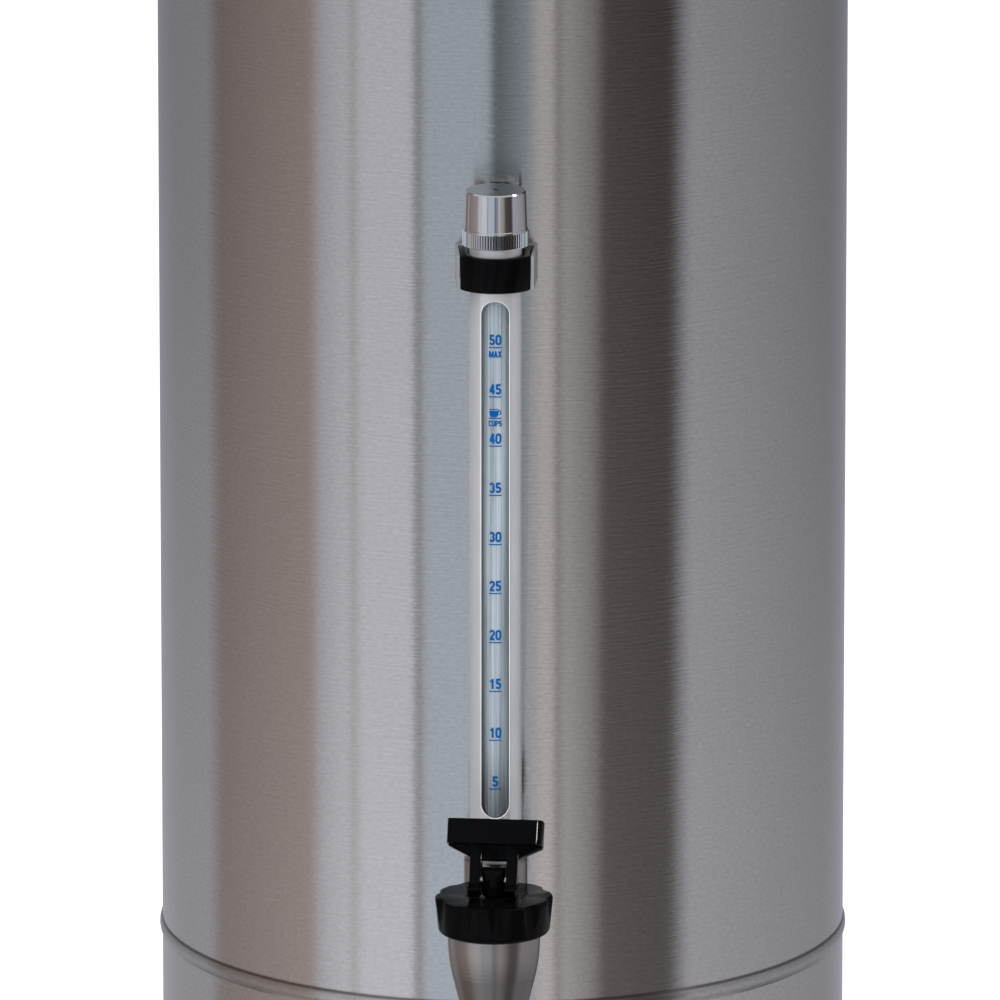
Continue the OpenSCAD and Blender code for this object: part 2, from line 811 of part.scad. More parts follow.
// One leg of the fork from its side: the heel's cam lifts the stem by an equal step for each degree of swing
module lever_leg() {
    steps = 10;
    cam = [for (i = [steps:-1:0]) let (a = i * lever_swing / steps, p = heel + cam_rate * a * PI / 180)
        [-p * sin(a) - cam_rate * cos(a), -p * cos(a) + cam_rate * sin(a)]];
    toe = cam[0];
    difference() {
        polygon(concat(
            cam, [[2.6, -heel]], arc([2.6, -heel + 1], 1, -90, 0, 3),
            [leant([3.2, paddle_low + 1]), leant([-3.4, paddle_low + 1])],
            [[-3.6, toe[1] + 0.6], [toe[0] + 0.6, toe[1] + 0.5], toe + [0, 0.2]]
        ));
        circle(pin_r + bore_fit);
    }
}

// The web under the lever's paddle, seen from the front: it closes the fork and flares out to the paddle's ends
module lever_web() {
    half = paddle_w / 2 - 0.3;
    leg = fork_w / 2 - 0.4;
    roof = head_r + 2.4;
    polygon([
        [-leg, roof], [leg, roof], [leg, roof + 0.3], [half, paddle_low - 0.5], [half, paddle_low + 2],
        [-half, paddle_low + 2], [-half, paddle_low - 0.5], [-leg, roof + 0.3]
    ]);
}

module tap_lever() {
    leg_t = (fork_w - fork_gap) / 2;
    color(black) at_valve() translate([0, 0, pin_z]) union() {
        for (x = [-fork_w / 2, fork_gap / 2])
            translate([x, 0, 0]) rotate([90, 0, 90]) linear_extrude(leg_t) lever_leg();
        rotate([-lever_lean, 0, 0]) {
            along_y(-0.5, 4.4) lever_web();
            translate([0, 0, paddle_low]) linear_extrude(paddle_h) rounded_rect(paddle_w, paddle_d, 2.4);
        }
    }
}

// The pin through the lever's legs and the stem's head
module lever_pin() {
    color(bright) at_valve() translate([-fork_w / 2 + fit, 0, pin_z]) rotate([0, 90, 0])
        cylinder(r = pin_r, h = fork_w - 2 * fit);
}

// The washer between the tap's flange and the wall
module tap_outer_washer() {
    color(silicone) difference() {
        rod_y(tap_flange_r - 0.5, -(body_r + washer_t), -body_r + 2, shank_z);
        rod_y(shank_r + fit, -(body_r + 2 * washer_t), -body_r + 3, shank_z);
        translate([0, 0, shank_z - 2 * tap_flange_r])
            cylinder(r = body_r + fit, h = 4 * tap_flange_r, $fn = wall_fn);
    }
}

// The washer between the wall and the nut inside the vessel
module tap_inner_washer() {
    color(silicone) intersection() {
        difference() {
            rod_y(nut_across / 2, -body_r, -bore_r + inner_washer_t, shank_z);
            rod_y(shank_r + fit, -body_r - through, -bore_r + 2 * inner_washer_t, shank_z);
        }
        translate([0, 0, shank_z - 2 * tap_flange_r])
            cylinder(r = bore_r - fit, h = 4 * tap_flange_r, $fn = wall_fn);
    }
}

// The nut that draws the tap onto the wall
module tap_nut() {
    y0 = -bore_r + inner_washer_t;
    color(brass) difference() {
        translate([0, y0, shank_z]) rotate([-90, 30, 0])
            cylinder(r = nut_across / 2 / cos(30), h = nut_t, $fn = 6);
        rod_y(shank_r + bore_fit, y0 - through, y0 + nut_t + through, shank_z);
    }
}

// The aluminium heating plate brazed under the floor, grooved for its element
module heating_plate() {
    color("lightgray") difference() {
        union() {
            cylinder_from(heater_r, heater_low, heater_top - fit);
            translate([0, stud_at, 0]) cylinder_from(stat_screw_r, heater_low - stud_l, heater_low + 1);
        }
        translate([0, 0, heater_low]) element_ring(tube_r + bore_fit);
        stat_screw_places() cylinder_from(stat_screw_r + bore_fit, heater_low - through, heater_low + stat_bite + fit);
    }
}

// The element's ring, open at the front, and the tops of its two cold legs
module element_ring(r) {
    rotate([0, 0, -90 + ring_open / 2]) rotate_extrude(angle = 360 - ring_open) translate([ring_r, 0]) circle(r);
    leg_places() cylinder_from(r + 0.4, -tube_r - through, tube_r - 1);
}

module leg_places() {
    for (turn = [-90 - ring_open / 2, -90 + ring_open / 2]) rotate([0, 0, turn]) translate([ring_r, 0, 0]) children();
}

// The heating element: ring, two cold legs and their terminals
module heating_element() {
    color("dimgray") translate([0, 0, heater_low]) {
        element_ring(tube_r);
        leg_places() {
            cylinder_from(tube_r + 0.4, -cold_leg, -tube_r);
            cylinder_from(terminal_r, -cold_leg - terminal_l, -cold_leg + through);
        }
    }
}

// A disc thermostat under the heating plate, with a flange for two screws and two terminals
module disc_thermostat(x) {
    color(black) translate([x, 0, heater_low - stat_h]) difference() {
        union() {
            cylinder(r = stat_r, h = stat_h);
            translate([0, 0, stat_h - 1.2]) linear_extrude(1.2) {
                for (y = [-stat_screw_at, stat_screw_at]) translate([0, y]) circle(3.6);
                square([7.2, 2 * stat_screw_at], center = true);
            }
            for (y = [-4, 4]) translate([-3, y - 0.4, -8]) cube([6, 0.8, 8 + through]);
        }
        for (y = [-stat_screw_at, stat_screw_at]) translate([0, y, -through])
            cylinder(r = stat_screw_r + fit, h = stat_h + 2 * through);
    }
}

module thermostat() {
    disc_thermostat(-stat_at);
}

module thermal_cutout() {
    disc_thermostat(stat_at);
}

// Screws that hold both discs to the plate
module thermostat_screws() {
    low = heater_low - 1.2;
    color(bright) stat_screw_places() {
        cylinder_from(stat_screw_r, low - through, heater_low + stat_bite);
        cylinder_from(2.6, low - 2, low);
    }
}

module stat_screw_places() {
    for (x = [-stat_at, stat_at], y = [-stat_screw_at, stat_screw_at]) translate([x, y, 0]) children();
}

// The moulded panel on the skirt, for the switch and the two lamps
module control_panel() {
    color(black) difference() {
        along_y(panel_y, 0) translate([0, panel_z]) rounded_rect(panel_w, panel_h, panel_corner);
        translate([0, 0, panel_z - panel_h]) cylinder(r = body_r + fit, h = 2 * panel_h, $fn = wall_fn);
        along_y(panel_y - through, 0) translate([0, panel_z])
            square([rocker_w + 2 * switch_wall + 2 * slack + 2 * fit, rocker_l + 2 * switch_wall + 2 * slack + 2 * fit],
                   center = true);
        for (x = [-lamp_at, lamp_at]) translate([x, 0, 0]) rod_y(lamp_body_r + fit, panel_y - through, 0, panel_z);
        panel_screw_places() rod_y(panel_screw_r + bore_fit, panel_y + 1.5, 0, 0);
    }
}

module panel_screw_places() {
    for (x = [-panel_screw_x, panel_screw_x], z = [-panel_screw_z, panel_screw_z]) translate([x, 0, panel_z + z])
        children();
}

// Screws through the skirt into the back of the panel
module panel_screws() {
    seat_y = -sqrt(pow(bore_r, 2) - pow(panel_screw_x, 2));
    color(bright) panel_screw_places() {
        rod_y(panel_screw_r, panel_y + 2, seat_y + 1.5, 0);
        rod_y(2.8, seat_y + 1.2, seat_y + 3, 0);
    }
}

// The switch: a bezel on the panel and a box behind it that carries the rocker's trunnions
module switch_housing() {
    w = rocker_w + 2 * slack;
    l = rocker_l + 2 * slack;
    pivot_y = panel_y + rocker_pivot - bezel_t;
    color(black) difference() {
        union() {
            along_y(panel_y - bezel_t, panel_y) translate([0, panel_z])
                rounded_rect(w + 2 * switch_wall + 2 * bezel, l + 2 * switch_wall + 2 * bezel, 2);
            along_y(panel_y - bezel_t / 2, panel_y + switch_depth) translate([0, panel_z])
                square([w + 2 * switch_wall, l + 2 * switch_wall], center = true);
            for (z = [-7, 7], x = [-5, 5]) translate([x - 0.4, panel_y + switch_depth - through, panel_z + z - 3])
                cube([0.8, 9, 6]);
        }
        along_y(panel_y - bezel_t - through, panel_y + 14) translate([0, panel_z]) square([w, l], center = true);
        translate([-w, pivot_y, panel_z]) rotate([0, 90, 0]) cylinder(r = trunnion_r + bore_fit, h = 2 * w);
    }
}

// The rocker, shown with its lower half pressed in
module switch_rocker() {
    r = rocker_l / 2;
    pivot_y = panel_y + rocker_pivot - bezel_t;
    color([0.55, 0.05, 0.04]) translate([0, pivot_y, panel_z]) rotate([rocker_tilt, 0, 0]) {
        intersection() {
            translate([-rocker_w / 2, 0, 0]) rotate([0, 90, 0]) cylinder(r = r, h = rocker_w);
            rotate([90, 0, 90]) translate([0, 0, -rocker_w]) linear_extrude(2 * rocker_w) polygon([
                [-rocker_reach, r], [-rocker_reach + rocker_dip, 0], [-rocker_reach, -r],
                [0, -r], [4, -r / 3], [4, r / 3], [0, r]
            ]);
        }
        translate([-rocker_w / 2 - trunnion_l, 0, 0]) rotate([0, 90, 0])
            cylinder(r = trunnion_r, h = rocker_w + 2 * trunnion_l);
    }
}

// A pilot lamp: domed lens on the panel and a barrel through the skirt
module pilot_lamp(x, tint) {
    dome = 2.2;
    dome_r = (lamp_r * lamp_r + dome * dome) / (2 * dome);
    color(tint) translate([x, panel_y, panel_z]) rotate([90, 0, 0]) {
        rotate_extrude() polygon(concat(
            [[0, fit], [lamp_r, fit], [lamp_r, 1]],
            arc([0, 1 + dome - dome_r], dome_r, 90 - asin(lamp_r / dome_r), 90, 6)
        ));
        cylinder_from(lamp_body_r, -lamp_depth, fit);
    }
}

module heating_lamp() {
    pilot_lamp(-lamp_at, "red");
}

module ready_lamp() {
    pilot_lamp(lamp_at, "green");
}

// The power inlet at the back: a flange with two ears round a recess for the connector
module power_inlet() {
    face_y = body_r + inlet_out;
    color(black) difference() {
        union() {
            difference() {
                along_y(0, face_y) translate([0, inlet_z]) rounded_rect(inlet_ears, inlet_h + 6, 4);
                translate([0, 0, inlet_z - 2 * inlet_h])
                    cylinder(r = body_r + fit, h = 4 * inlet_h, $fn = wall_fn);
            }
            along_y(face_y - inlet_depth, face_y - 1) translate([0, inlet_z]) square([inlet_w, inlet_h], center = true);
        }
        along_y(face_y - inlet_depth + inlet_floor, face_y + through) translate([0, inlet_z])
            square([inlet_w - 2 * inlet_wall, inlet_h - 2 * inlet_wall], center = true);
        inlet_pin_places() translate([0, face_y - inlet_depth - through, 0])
            pin_bar(inlet_floor + 2 * through, bore_fit);
        inlet_screw_places() rod_y(inlet_screw_r + fit, 0, face_y + through, 0);
    }
}

// A flat pin along Y, grown all round by a clearance
module pin_bar(l, grow) {
    translate([-1 - grow, 0, -2 - grow]) cube([2 + 2 * grow, l, 4 + 2 * grow]);
}

module inlet_pin_places() {
    for (x = [-1, 0, 1]) translate([x * pin_gap / 2, 0, inlet_z + (x == 0 ? 2 : -1) * pin_off]) children();
}

// The inlet's three pins, with tails for the wires
module inlet_pins() {
    color(bright) inlet_pin_places() translate([0, body_r + inlet_out - inlet_depth - pin_tail, 0])
        pin_bar(pin_tail + inlet_floor + pin_len, 0);
}

module inlet_screw_places() {
    for (x = [-inlet_hole / 2, inlet_hole / 2]) translate([x, 0, inlet_z]) children();
}

// Screws through the inlet's ears into the skirt
module inlet_screws() {
    face_y = body_r + inlet_out;
    color(bright) inlet_screw_places() {
        rod_y(inlet_screw_r, body_r - 12, face_y + fit, 0);
        rod_y(3, face_y, face_y + 1.8, 0);
    }
}

// A point at step t between points i and i + 1 of a smooth path through p
function blend(p, i, t) =
    let (a = p[max(i - 1, 0)], b = p[i], c = p[i + 1], d = p[min(i + 2, len(p) - 1)])
    (2 * b + (c - a) * t + (2 * a - 5 * b + 4 * c - d) * t * t + (3 * b - a - 3 * c + d) * t * t * t) / 2;

function unit(v) = v / norm(v);

// A round wire of radius r along a smooth path through p, whose rings are set square to the direction across
module lead(p, r, across) {
    steps = 3;
    sides = 8;
    path = concat([for (i = [0:len(p) - 2], k = [0:steps - 1]) blend(p, i, k / steps)], [p[len(p) - 1]]);
    last = len(path) - 1;
    points = [for (i = [0:last], k = [0:sides - 1])
        let (way = unit(i == 0 ? p[1] - p[0] : i == last ? p[len(p) - 1] - p[len(p) - 2] : path[i + 1] - path[i - 1]),
             u = unit(cross(way, across)), v = cross(way, u), a = k * 360 / sides)
        path[i] + r * (cos(a) * u + sin(a) * v)];
    walls = [for (i = [0:last - 1], k = [0:sides - 1])
        let (a = i * sides + k, b = i * sides + (k + 1) % sides)
        each [[a, a + sides, b], [b, a + sides, b + sides]]];
    ends = [for (k = [1:sides - 2]) each [[0, k, k + 1], [last * sides, last * sides + k + 1, last * sides + k]]];
    polyhedron(points, concat(walls, ends));
}

// The leads between inlet, switch, lamps, thermostat, cut-out and element
module wiring() {
    tail_y = body_r + inlet_out - inlet_depth - pin_tail - fit;
    low_z = inlet_z - pin_off;
    tab_y = panel_y + switch_depth + 8 + fit;
    stat_z = heater_low - stat_h - 8 - fit;
    leg = [ring_r * sin(ring_open / 2), -ring_r * cos(ring_open / 2), heater_low - cold_leg - terminal_l - fit];
    on_z = panel_z + 7;
    off_z = panel_z - 7;
    lamp_y = panel_y + lamp_depth + fit;
    for (x = [-1, 1]) color(x < 0 ? "saddlebrown" : "steelblue") lead([
        [x * pin_gap / 2, tail_y, low_z], [x * pin_gap / 2, tail_y - 8, low_z], [x * 12, 45, skirt_z + 22],
        [x * 12, -30, skirt_z + 22], [x * 5, tab_y + 9, off_z], [x * 5, tab_y, off_z]], lead_r, [1, 0, 0]);
    color("saddlebrown") {
        lead([[-5, tab_y, on_z], [-5, tab_y + 8, on_z], [-15, tab_y + 44, stat_z - 25], [-stat_at, -9, stat_z - 12],
              [-stat_at, -4, stat_z - 5], [-stat_at, -4, stat_z]], lead_r, [1, 0, 0]);
        lead([[-stat_at, 4, stat_z], [-stat_at, 4, stat_z - 6], [-12, 8, stat_z - 12], [0, 10, stat_z - 14],
              [12, 8, stat_z - 12], [stat_at, 4, stat_z - 6], [stat_at, 4, stat_z]], lead_r, [0, 1, 0]);
        lead([[stat_at, -4, stat_z], [stat_at, -4, stat_z - 6], [stat_at - 1, -20, stat_z - 16],
              [leg[0] + 0.4, leg[1] + 7, leg[2] - 12], [leg[0], leg[1], leg[2] - 6], leg], lead_r, [1, 0, 0]);
        lead([[-lamp_at - 1.5, lamp_y, panel_z], [-lamp_at - 1.5, lamp_y + 6, panel_z],
              [-16, tab_y - 4, on_z], [-5.5, tab_y - 4, on_z]], lamp_lead_r, [0, 0, 1]);
        lead([[lamp_at - 1.5, lamp_y, panel_z], [lamp_at - 1.5, lamp_y + 3, panel_z], [11, tab_y - 6, panel_z - 2],
              [3, tab_y - 6, panel_z - 1], [-1, tab_y - 6, panel_z + 4], [-2.5, tab_y - 6, on_z - 0.5],
              [-4.5, tab_y - 6, on_z - 0.5]], lamp_lead_r, [0, 0, 1]);
    }
    color("steelblue") {
        lead([[5, tab_y, on_z], [5, tab_y + 8, on_z], [0, tab_y + 17, on_z + 6], [leg[0] * -0.7, leg[1] - 6, leg[2] - 17],
              [-leg[0], leg[1], leg[2] - 7], [-leg[0], leg[1], leg[2]]], lead_r, [1, 0, 0]);
        lead([[lamp_at + 1.5, lamp_y, panel_z], [lamp_at + 1.5, lamp_y + 6, panel_z],
              [16, tab_y - 4, on_z], [5.5, tab_y - 4, on_z]], lamp_lead_r, [0, 0, 1]);
        lead([[1.5 - lamp_at, lamp_y, panel_z], [1.5 - lamp_at, lamp_y + 6, panel_z], [-11, tab_y - 2, panel_z - 2],
              [-3, tab_y - 2, panel_z - 1], [1, tab_y - 3, panel_z + 4], [2.5, tab_y - 3, on_z - 0.5],
              [4.5, tab_y - 3, on_z - 0.5]], lamp_lead_r, [0, 0, 1]);
    }
    color("yellowgreen") lead([
        [0, tail_y, inlet_z + 2 * pin_off], [0, tail_y - 7, inlet_z + 2 * pin_off],
        [0, stud_at + 10, inlet_z + 24], [0, stud_at, heater_low - stud_l - 14],
        [0, stud_at, heater_low - stud_l - fit]], lead_r, [1, 0, 0]);
}

body_shell();
rim_ring();
tank_floor();
base_skirt();
bottom_plate();
feet();
foot_screws();
lid();
lid_knob();
lid_knob_screw();
right_handle();
left_handle();
handle_screws();
gauge_shield();
gauge_glass();
gauge_cap();
gauge_cap_seal();
gauge_top_bush();
gauge_bottom_seal();
gauge_bracket();
gauge_clip();
tap_body();
tap_bonnet();
bonnet_gasket();
tap_stem();
tap_seat_cup();
tap_spring();
tap_lever();
lever_pin();
tap_outer_washer();
tap_inner_washer();
tap_nut();
heating_plate();
heating_element();
thermostat();
thermal_cutout();
thermostat_screws();
control_panel();
panel_screws();
switch_housing();
switch_rocker();
heating_lamp();
ready_lamp();
power_inlet();
inlet_pins();
inlet_screws();
wiring();
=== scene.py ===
"""Hot water urn: finishes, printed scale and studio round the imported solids. Metres, tap towards -Y."""
import json
import math

import bmesh
import bpy
import numpy as np
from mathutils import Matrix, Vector


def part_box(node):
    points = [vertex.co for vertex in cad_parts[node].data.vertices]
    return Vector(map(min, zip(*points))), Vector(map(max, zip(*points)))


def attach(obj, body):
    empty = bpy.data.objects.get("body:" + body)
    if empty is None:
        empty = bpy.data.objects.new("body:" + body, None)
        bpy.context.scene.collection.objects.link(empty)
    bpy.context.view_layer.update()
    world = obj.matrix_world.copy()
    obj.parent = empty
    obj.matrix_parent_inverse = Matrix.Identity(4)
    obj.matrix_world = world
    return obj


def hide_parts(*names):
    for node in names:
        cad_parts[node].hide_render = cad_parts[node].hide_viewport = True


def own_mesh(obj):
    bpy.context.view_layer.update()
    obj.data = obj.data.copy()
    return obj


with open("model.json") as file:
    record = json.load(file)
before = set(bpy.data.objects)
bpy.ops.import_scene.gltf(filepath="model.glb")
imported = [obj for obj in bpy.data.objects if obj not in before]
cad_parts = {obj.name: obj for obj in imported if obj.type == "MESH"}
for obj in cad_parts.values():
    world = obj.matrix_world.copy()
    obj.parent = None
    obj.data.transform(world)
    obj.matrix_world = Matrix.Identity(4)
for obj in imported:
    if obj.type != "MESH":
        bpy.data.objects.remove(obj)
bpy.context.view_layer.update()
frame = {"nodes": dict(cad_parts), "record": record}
nodes = frame["nodes"]
record = frame["record"]
scene = bpy.context.scene
scene.view_settings.view_transform = "Standard"


# Places taken from the solids

def corners(node):
    """Lowest and highest corner of a node's box, as arrays."""
    return [np.array(corner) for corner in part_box(node)]


def half_width(node):
    """Half of a node's size along X, which is the radius of a round node."""
    low, high = corners(node)
    return float(high[0] - low[0]) / 2


def middle(node):
    """Centre of a node's box, as an array."""
    low, high = corners(node)
    return (low + high) / 2


def held_by(node):
    """The body that carries a node, and the node's material slot."""
    row = next(r for r in record["subparts"] if r["node"] == node)
    body = next(b for b, held in record["behaviour"]["bodies"].items() if node in held)
    return body, row["material_slot"]


gauge_axis = middle("gauge_glass")
gauge_centre = (float(gauge_axis[0]), float(gauge_axis[1]))


# Sizes of features within a node
BEAD_OUT = 0.0009
BEAD_CREASE = 0.0061
FLUTE_DEPTH = 0.0008
FLUTE_HEIGHT = 0.0048
FLUTE_MARGIN = 0.0001
WINDOW_HALF = 0.0046
WINDOW_FOOT = 0.175
WINDOW_TOP = 0.3465
HAIR = 0.00004


# Camera, at the photograph's place

AZIMUTH = math.radians(1.06)
ELEVATION = math.radians(13.89)
DISTANCE = 5.0
LENS = 545.19
AIM_ACROSS = -0.0009
AIM_UP = 0.24808
back = Vector((math.sin(AZIMUTH) * math.cos(ELEVATION), -math.cos(AZIMUTH) * math.cos(ELEVATION),
               math.sin(ELEVATION)))
aim = Vector((AIM_ACROSS * math.cos(AZIMUTH), AIM_ACROSS * math.sin(AZIMUTH), AIM_UP))
camera = bpy.data.objects.new("camera", bpy.data.cameras.new("camera"))
camera.data.sensor_width = 36
camera.data.lens = LENS
camera.data.clip_end = 60
camera.location = aim + back * DISTANCE
camera.rotation_mode = "QUATERNION"
camera.rotation_quaternion = (-back).to_track_quat("-Z", "Y")
scene.collection.objects.link(camera)
scene.camera = camera


# Node trees

def add(tree, kind, attributes=None, inputs=None):
    """A node of one kind, with attributes by name and inputs by socket name or number."""
    node = tree.nodes.new(kind)
    for key, value in (attributes or {}).items():
        setattr(node, key, value)
    for key, value in (inputs or {}).items():
        if isinstance(value, bpy.types.NodeSocket):
            tree.links.new(value, node.inputs[key])
        else:
            node.inputs[key].default_value = value
    return node


def maths(tree, operation, a, b=0.0):
    """One Math node, and its result."""
    return add(tree, "ShaderNodeMath", {"operation": operation}, {0: a, 1: b}).outputs[0]


def blend(tree, how, factor, a, b):
    """One colour Mix node, and its result."""
    node = add(tree, "ShaderNodeMix", {"data_type": "RGBA", "blend_type": how})
    for key, value in ((0, factor), (6, a), (7, b)):
        if isinstance(value, bpy.types.NodeSocket):
            tree.links.new(value, node.inputs[key])
        else:
            node.inputs[key].default_value = value if key == 0 else (*value[:3], 1)
    return node.outputs[2]


def times(tree, first, *others):
    """Colours multiplied together."""
    for other in others:
        first = blend(tree, "MULTIPLY", 1.0, first, other)
    return first


def ramp(tree, value, stops):
    """A colour ramp through stops of (place, grey or colour)."""
    node = add(tree, "ShaderNodeValToRGB", inputs={0: value})
    band = node.color_ramp
    while len(band.elements) < len(stops):
        band.elements.new(0.5)
    for element, (place, tint) in zip(band.elements, stops):
        element.position = place
        element.color = (*tint, 1) if isinstance(tint, (tuple, list)) else (tint, tint, tint, 1)
    return node.outputs[0]


def noise(tree, vector, scale, detail, rough=0.5):
    """One Noise node, and its value."""
    values = {"Vector": vector, "Scale": scale, "Detail": detail, "Roughness": rough}
    return add(tree, "ShaderNodeTexNoise", inputs=values).outputs[0]


def own_place(tree):
    """The point's place in its piece's own coordinates."""
    return add(tree, "ShaderNodeTexCoord").outputs["Object"]


def around(tree, centre=(0.0, 0.0)):
    """A point's angle from the front, distance and height about an upright axis."""
    x, y, z = add(tree, "ShaderNodeSeparateXYZ", inputs={0: own_place(tree)}).outputs
    across = maths(tree, "SUBTRACT", x, centre[0])
    behind = maths(tree, "SUBTRACT", y, centre[1])
    angle = maths(tree, "ARCTAN2", across, maths(tree, "MULTIPLY", behind, -1.0))
    squares = [maths(tree, "POWER", side, 2.0) for side in (across, behind)]
    return angle, maths(tree, "SQRT", maths(tree, "ADD", *squares)), z


def joined_axes(tree, x, y, z):
    """A vector from three values."""
    return add(tree, "ShaderNodeCombineXYZ", inputs={0: x, 1: y, 2: z}).outputs[0]


def new_group(name, inputs, outputs):
    """An empty node group with float inputs of (name, default) and float outputs."""
    tree = bpy.data.node_groups.new(name, "ShaderNodeTree")
    for label, value in inputs:
        socket = tree.interface.new_socket(name=label, in_out="INPUT", socket_type="NodeSocketFloat")
        socket.default_value = value
    for label in outputs:
        tree.interface.new_socket(name=label, in_out="OUTPUT", socket_type="NodeSocketFloat")
    return tree, tree.nodes.new("NodeGroupInput"), tree.nodes.new("NodeGroupOutput")


def turned_brushing():
    """Brush marks that run round the Z axis: noise over (angle, radius, height), drawn out in angle. Lines
    are long and fine, strokes are short, and the cloud is a slow drift."""
    inputs = [("Lines", 1400.0), ("Line run", 9.0), ("Strokes", 1000.0), ("Stroke run", 60.0)]
    tree, given, out = new_group("turned_brushing", inputs, ["Lines", "Strokes", "Cloud"])
    angle, radius, z = around(tree)
    for label, run, detail in (("Lines", "Line run", 2.0), ("Strokes", "Stroke run", 1.0)):
        fineness = given.outputs[label]
        spread = joined_axes(tree, maths(tree, "MULTIPLY", angle, given.outputs[run]),
                             maths(tree, "MULTIPLY", radius, fineness), maths(tree, "MULTIPLY", z, fineness))
        tree.links.new(noise(tree, spread, 1.0, detail, 0.6), out.inputs[label])
    tree.links.new(noise(tree, own_place(tree), 14.0, 3.0), out.inputs["Cloud"])
    return tree


def fine_grain():
    """The even pebble of a moulded skin, and a slow drift of tone over it."""
    tree, given, out = new_group("fine_grain", [("Scale", 900.0), ("Drift", 30.0)], ["Pebble", "Drift"])
    place = own_place(tree)
    tree.links.new(noise(tree, place, given.outputs["Scale"], 2.0), out.inputs["Pebble"])
    tree.links.new(noise(tree, place, given.outputs["Drift"], 4.0), out.inputs["Drift"])
    return tree


BRUSHING = turned_brushing()
GRAIN = fine_grain()


# Materials

def new_material(name, **sockets):
    """A material with one Principled shader and plain values set on its own sockets."""
    material = bpy.data.materials.new(name)
    material.use_nodes = True
    shader = material.node_tree.nodes["Principled BSDF"]
    for key, value in sockets.items():
        shader.inputs[key.replace("_", " ")].default_value = value
    return material, material.node_tree, shader


def placed(tree, group, **values):
    """A node group placed in a material with its own values."""
    node = add(tree, "ShaderNodeGroup", {"node_tree": group})
    for key, value in values.items():
        node.inputs[key].default_value = value
    return node


def bump(tree, height, strength, distance):
    """A Bump node, and the normal that it makes."""
    values = {"Height": height, "Strength": strength, "Distance": distance}
    return add(tree, "ShaderNodeBump", inputs=values).outputs[0]


def feeding(shader, label):
    """The output that already feeds one of the shader's sockets."""
    return shader.inputs[label].links[0].from_socket


def brushed_metal(name, tint, rough, grip=0.75, contrast=0.10, relief=0.08):
    """Steel brushed round the Z axis: its highlights stretch up and down, across the brush lines."""
    material, tree, shader = new_material(name, Metallic=1.0, Anisotropic=grip, Anisotropic_Rotation=0.25)
    brush = placed(tree, BRUSHING)
    lines = brush.outputs["Lines"]
    tone = ramp(tree, brush.outputs["Strokes"], [(0.25, 1.0 - contrast), (0.75, 1.0 + contrast * 0.2)])
    cloud = ramp(tree, brush.outputs["Cloud"], [(0.3, 0.97), (0.7, 1.0)])
    gloss = ramp(tree, lines, [(0.2, rough * 0.88), (0.8, rough * 1.12)])
    tangent = add(tree, "ShaderNodeTangent", {"direction_type": "RADIAL", "axis": "Z"})
    tree.links.new(times(tree, tint, tone, cloud), shader.inputs["Base Color"])
    tree.links.new(gloss, shader.inputs["Roughness"])
    tree.links.new(bump(tree, lines, relief, 0.0002), shader.inputs["Normal"])
    tree.links.new(tangent.outputs[0], shader.inputs["Tangent"])
    return material


def plated_metal(name, tint, rough, metallic=1.0):
    """Plated or satin metal with a faint drift in its polish."""
    material, tree, shader = new_material(name, Metallic=metallic)
    grain = placed(tree, GRAIN, Scale=1600.0, Drift=60.0)
    drift = grain.outputs["Drift"]
    tone = ramp(tree, drift, [(0.3, 0.94), (0.7, 1.0)])
    gloss = ramp(tree, drift, [(0.3, rough * 1.15), (0.7, rough * 0.9)])
    tree.links.new(times(tree, tint, tone), shader.inputs["Base Color"])
    tree.links.new(gloss, shader.inputs["Roughness"])
    tree.links.new(bump(tree, grain.outputs["Pebble"], 0.05, 0.0001), shader.inputs["Normal"])
    return material


def moulded_plastic(name, tint, rough, depth=0.1, **sockets):
    """Moulded plastic: a fine pebble in the skin and a slight drift of tone and gloss."""
    material, tree, shader = new_material(name, **sockets)
    grain = placed(tree, GRAIN, Scale=900.0, Drift=40.0)
    drift = grain.outputs["Drift"]
    tone = ramp(tree, drift, [(0.3, 0.82), (0.7, 1.15)])
    gloss = ramp(tree, drift, [(0.3, rough * 0.85), (0.7, rough * 1.15)])
    tree.links.new(times(tree, tint, tone), shader.inputs["Base Color"])
    tree.links.new(gloss, shader.inputs["Roughness"])
    tree.links.new(bump(tree, grain.outputs["Pebble"], depth, 0.0002), shader.inputs["Normal"])
    return material


def printing_ink(name, tint, pale, full, specular):
    """Printed ink whose cover drifts a little between two strengths."""
    material, tree, shader = new_material(name, Specular_IOR_Level=specular)
    drift = placed(tree, GRAIN, Scale=2500.0, Drift=200.0).outputs["Drift"]
    tone = ramp(tree, drift, [(0.3, pale), (0.7, full)])
    tree.links.new(times(tree, tint, tone), shader.inputs["Base Color"])
    tree.links.new(ramp(tree, drift, [(0.3, 0.5), (0.7, 0.4)]), shader.inputs["Roughness"])
    return material


def drawn_glass(name, tint, clear, foot, rise):
    """Drawn glass tube round the gauge axis: painted streaks along it for the bands that reflection and
    refraction make in the tube, and a painted dark reflection over its foot."""
    material, tree, shader = new_material(name, Roughness=0.04, IOR=1.47)
    angle, _, z = around(tree, gauge_centre)
    run = joined_axes(tree, maths(tree, "MULTIPLY", angle, 5.0), 0.0, maths(tree, "MULTIPLY", z, 9.0))
    # painted reflection: streaks along the tube stand in for its bands of reflection and refraction
    streak = ramp(tree, noise(tree, run, 1.0, 3.0, 0.6), [(0.36, 0.45), (0.62, 1.0)])
    sunk = maths(tree, "DIVIDE", maths(tree, "SUBTRACT", foot + rise, z), rise)
    # painted reflection: the colour darkens towards the window's foot, standing in for a dark reflection
    painted_dark_foot = ramp(tree, sunk, [(0.0, 1.0), (1.0, 0.4)])
    tree.links.new(times(tree, tint, streak, painted_dark_foot), shader.inputs["Base Color"])
    tree.links.new(ramp(tree, sunk, [(0.0, clear), (1.0, 0.7)]), shader.inputs["Alpha"])
    return material


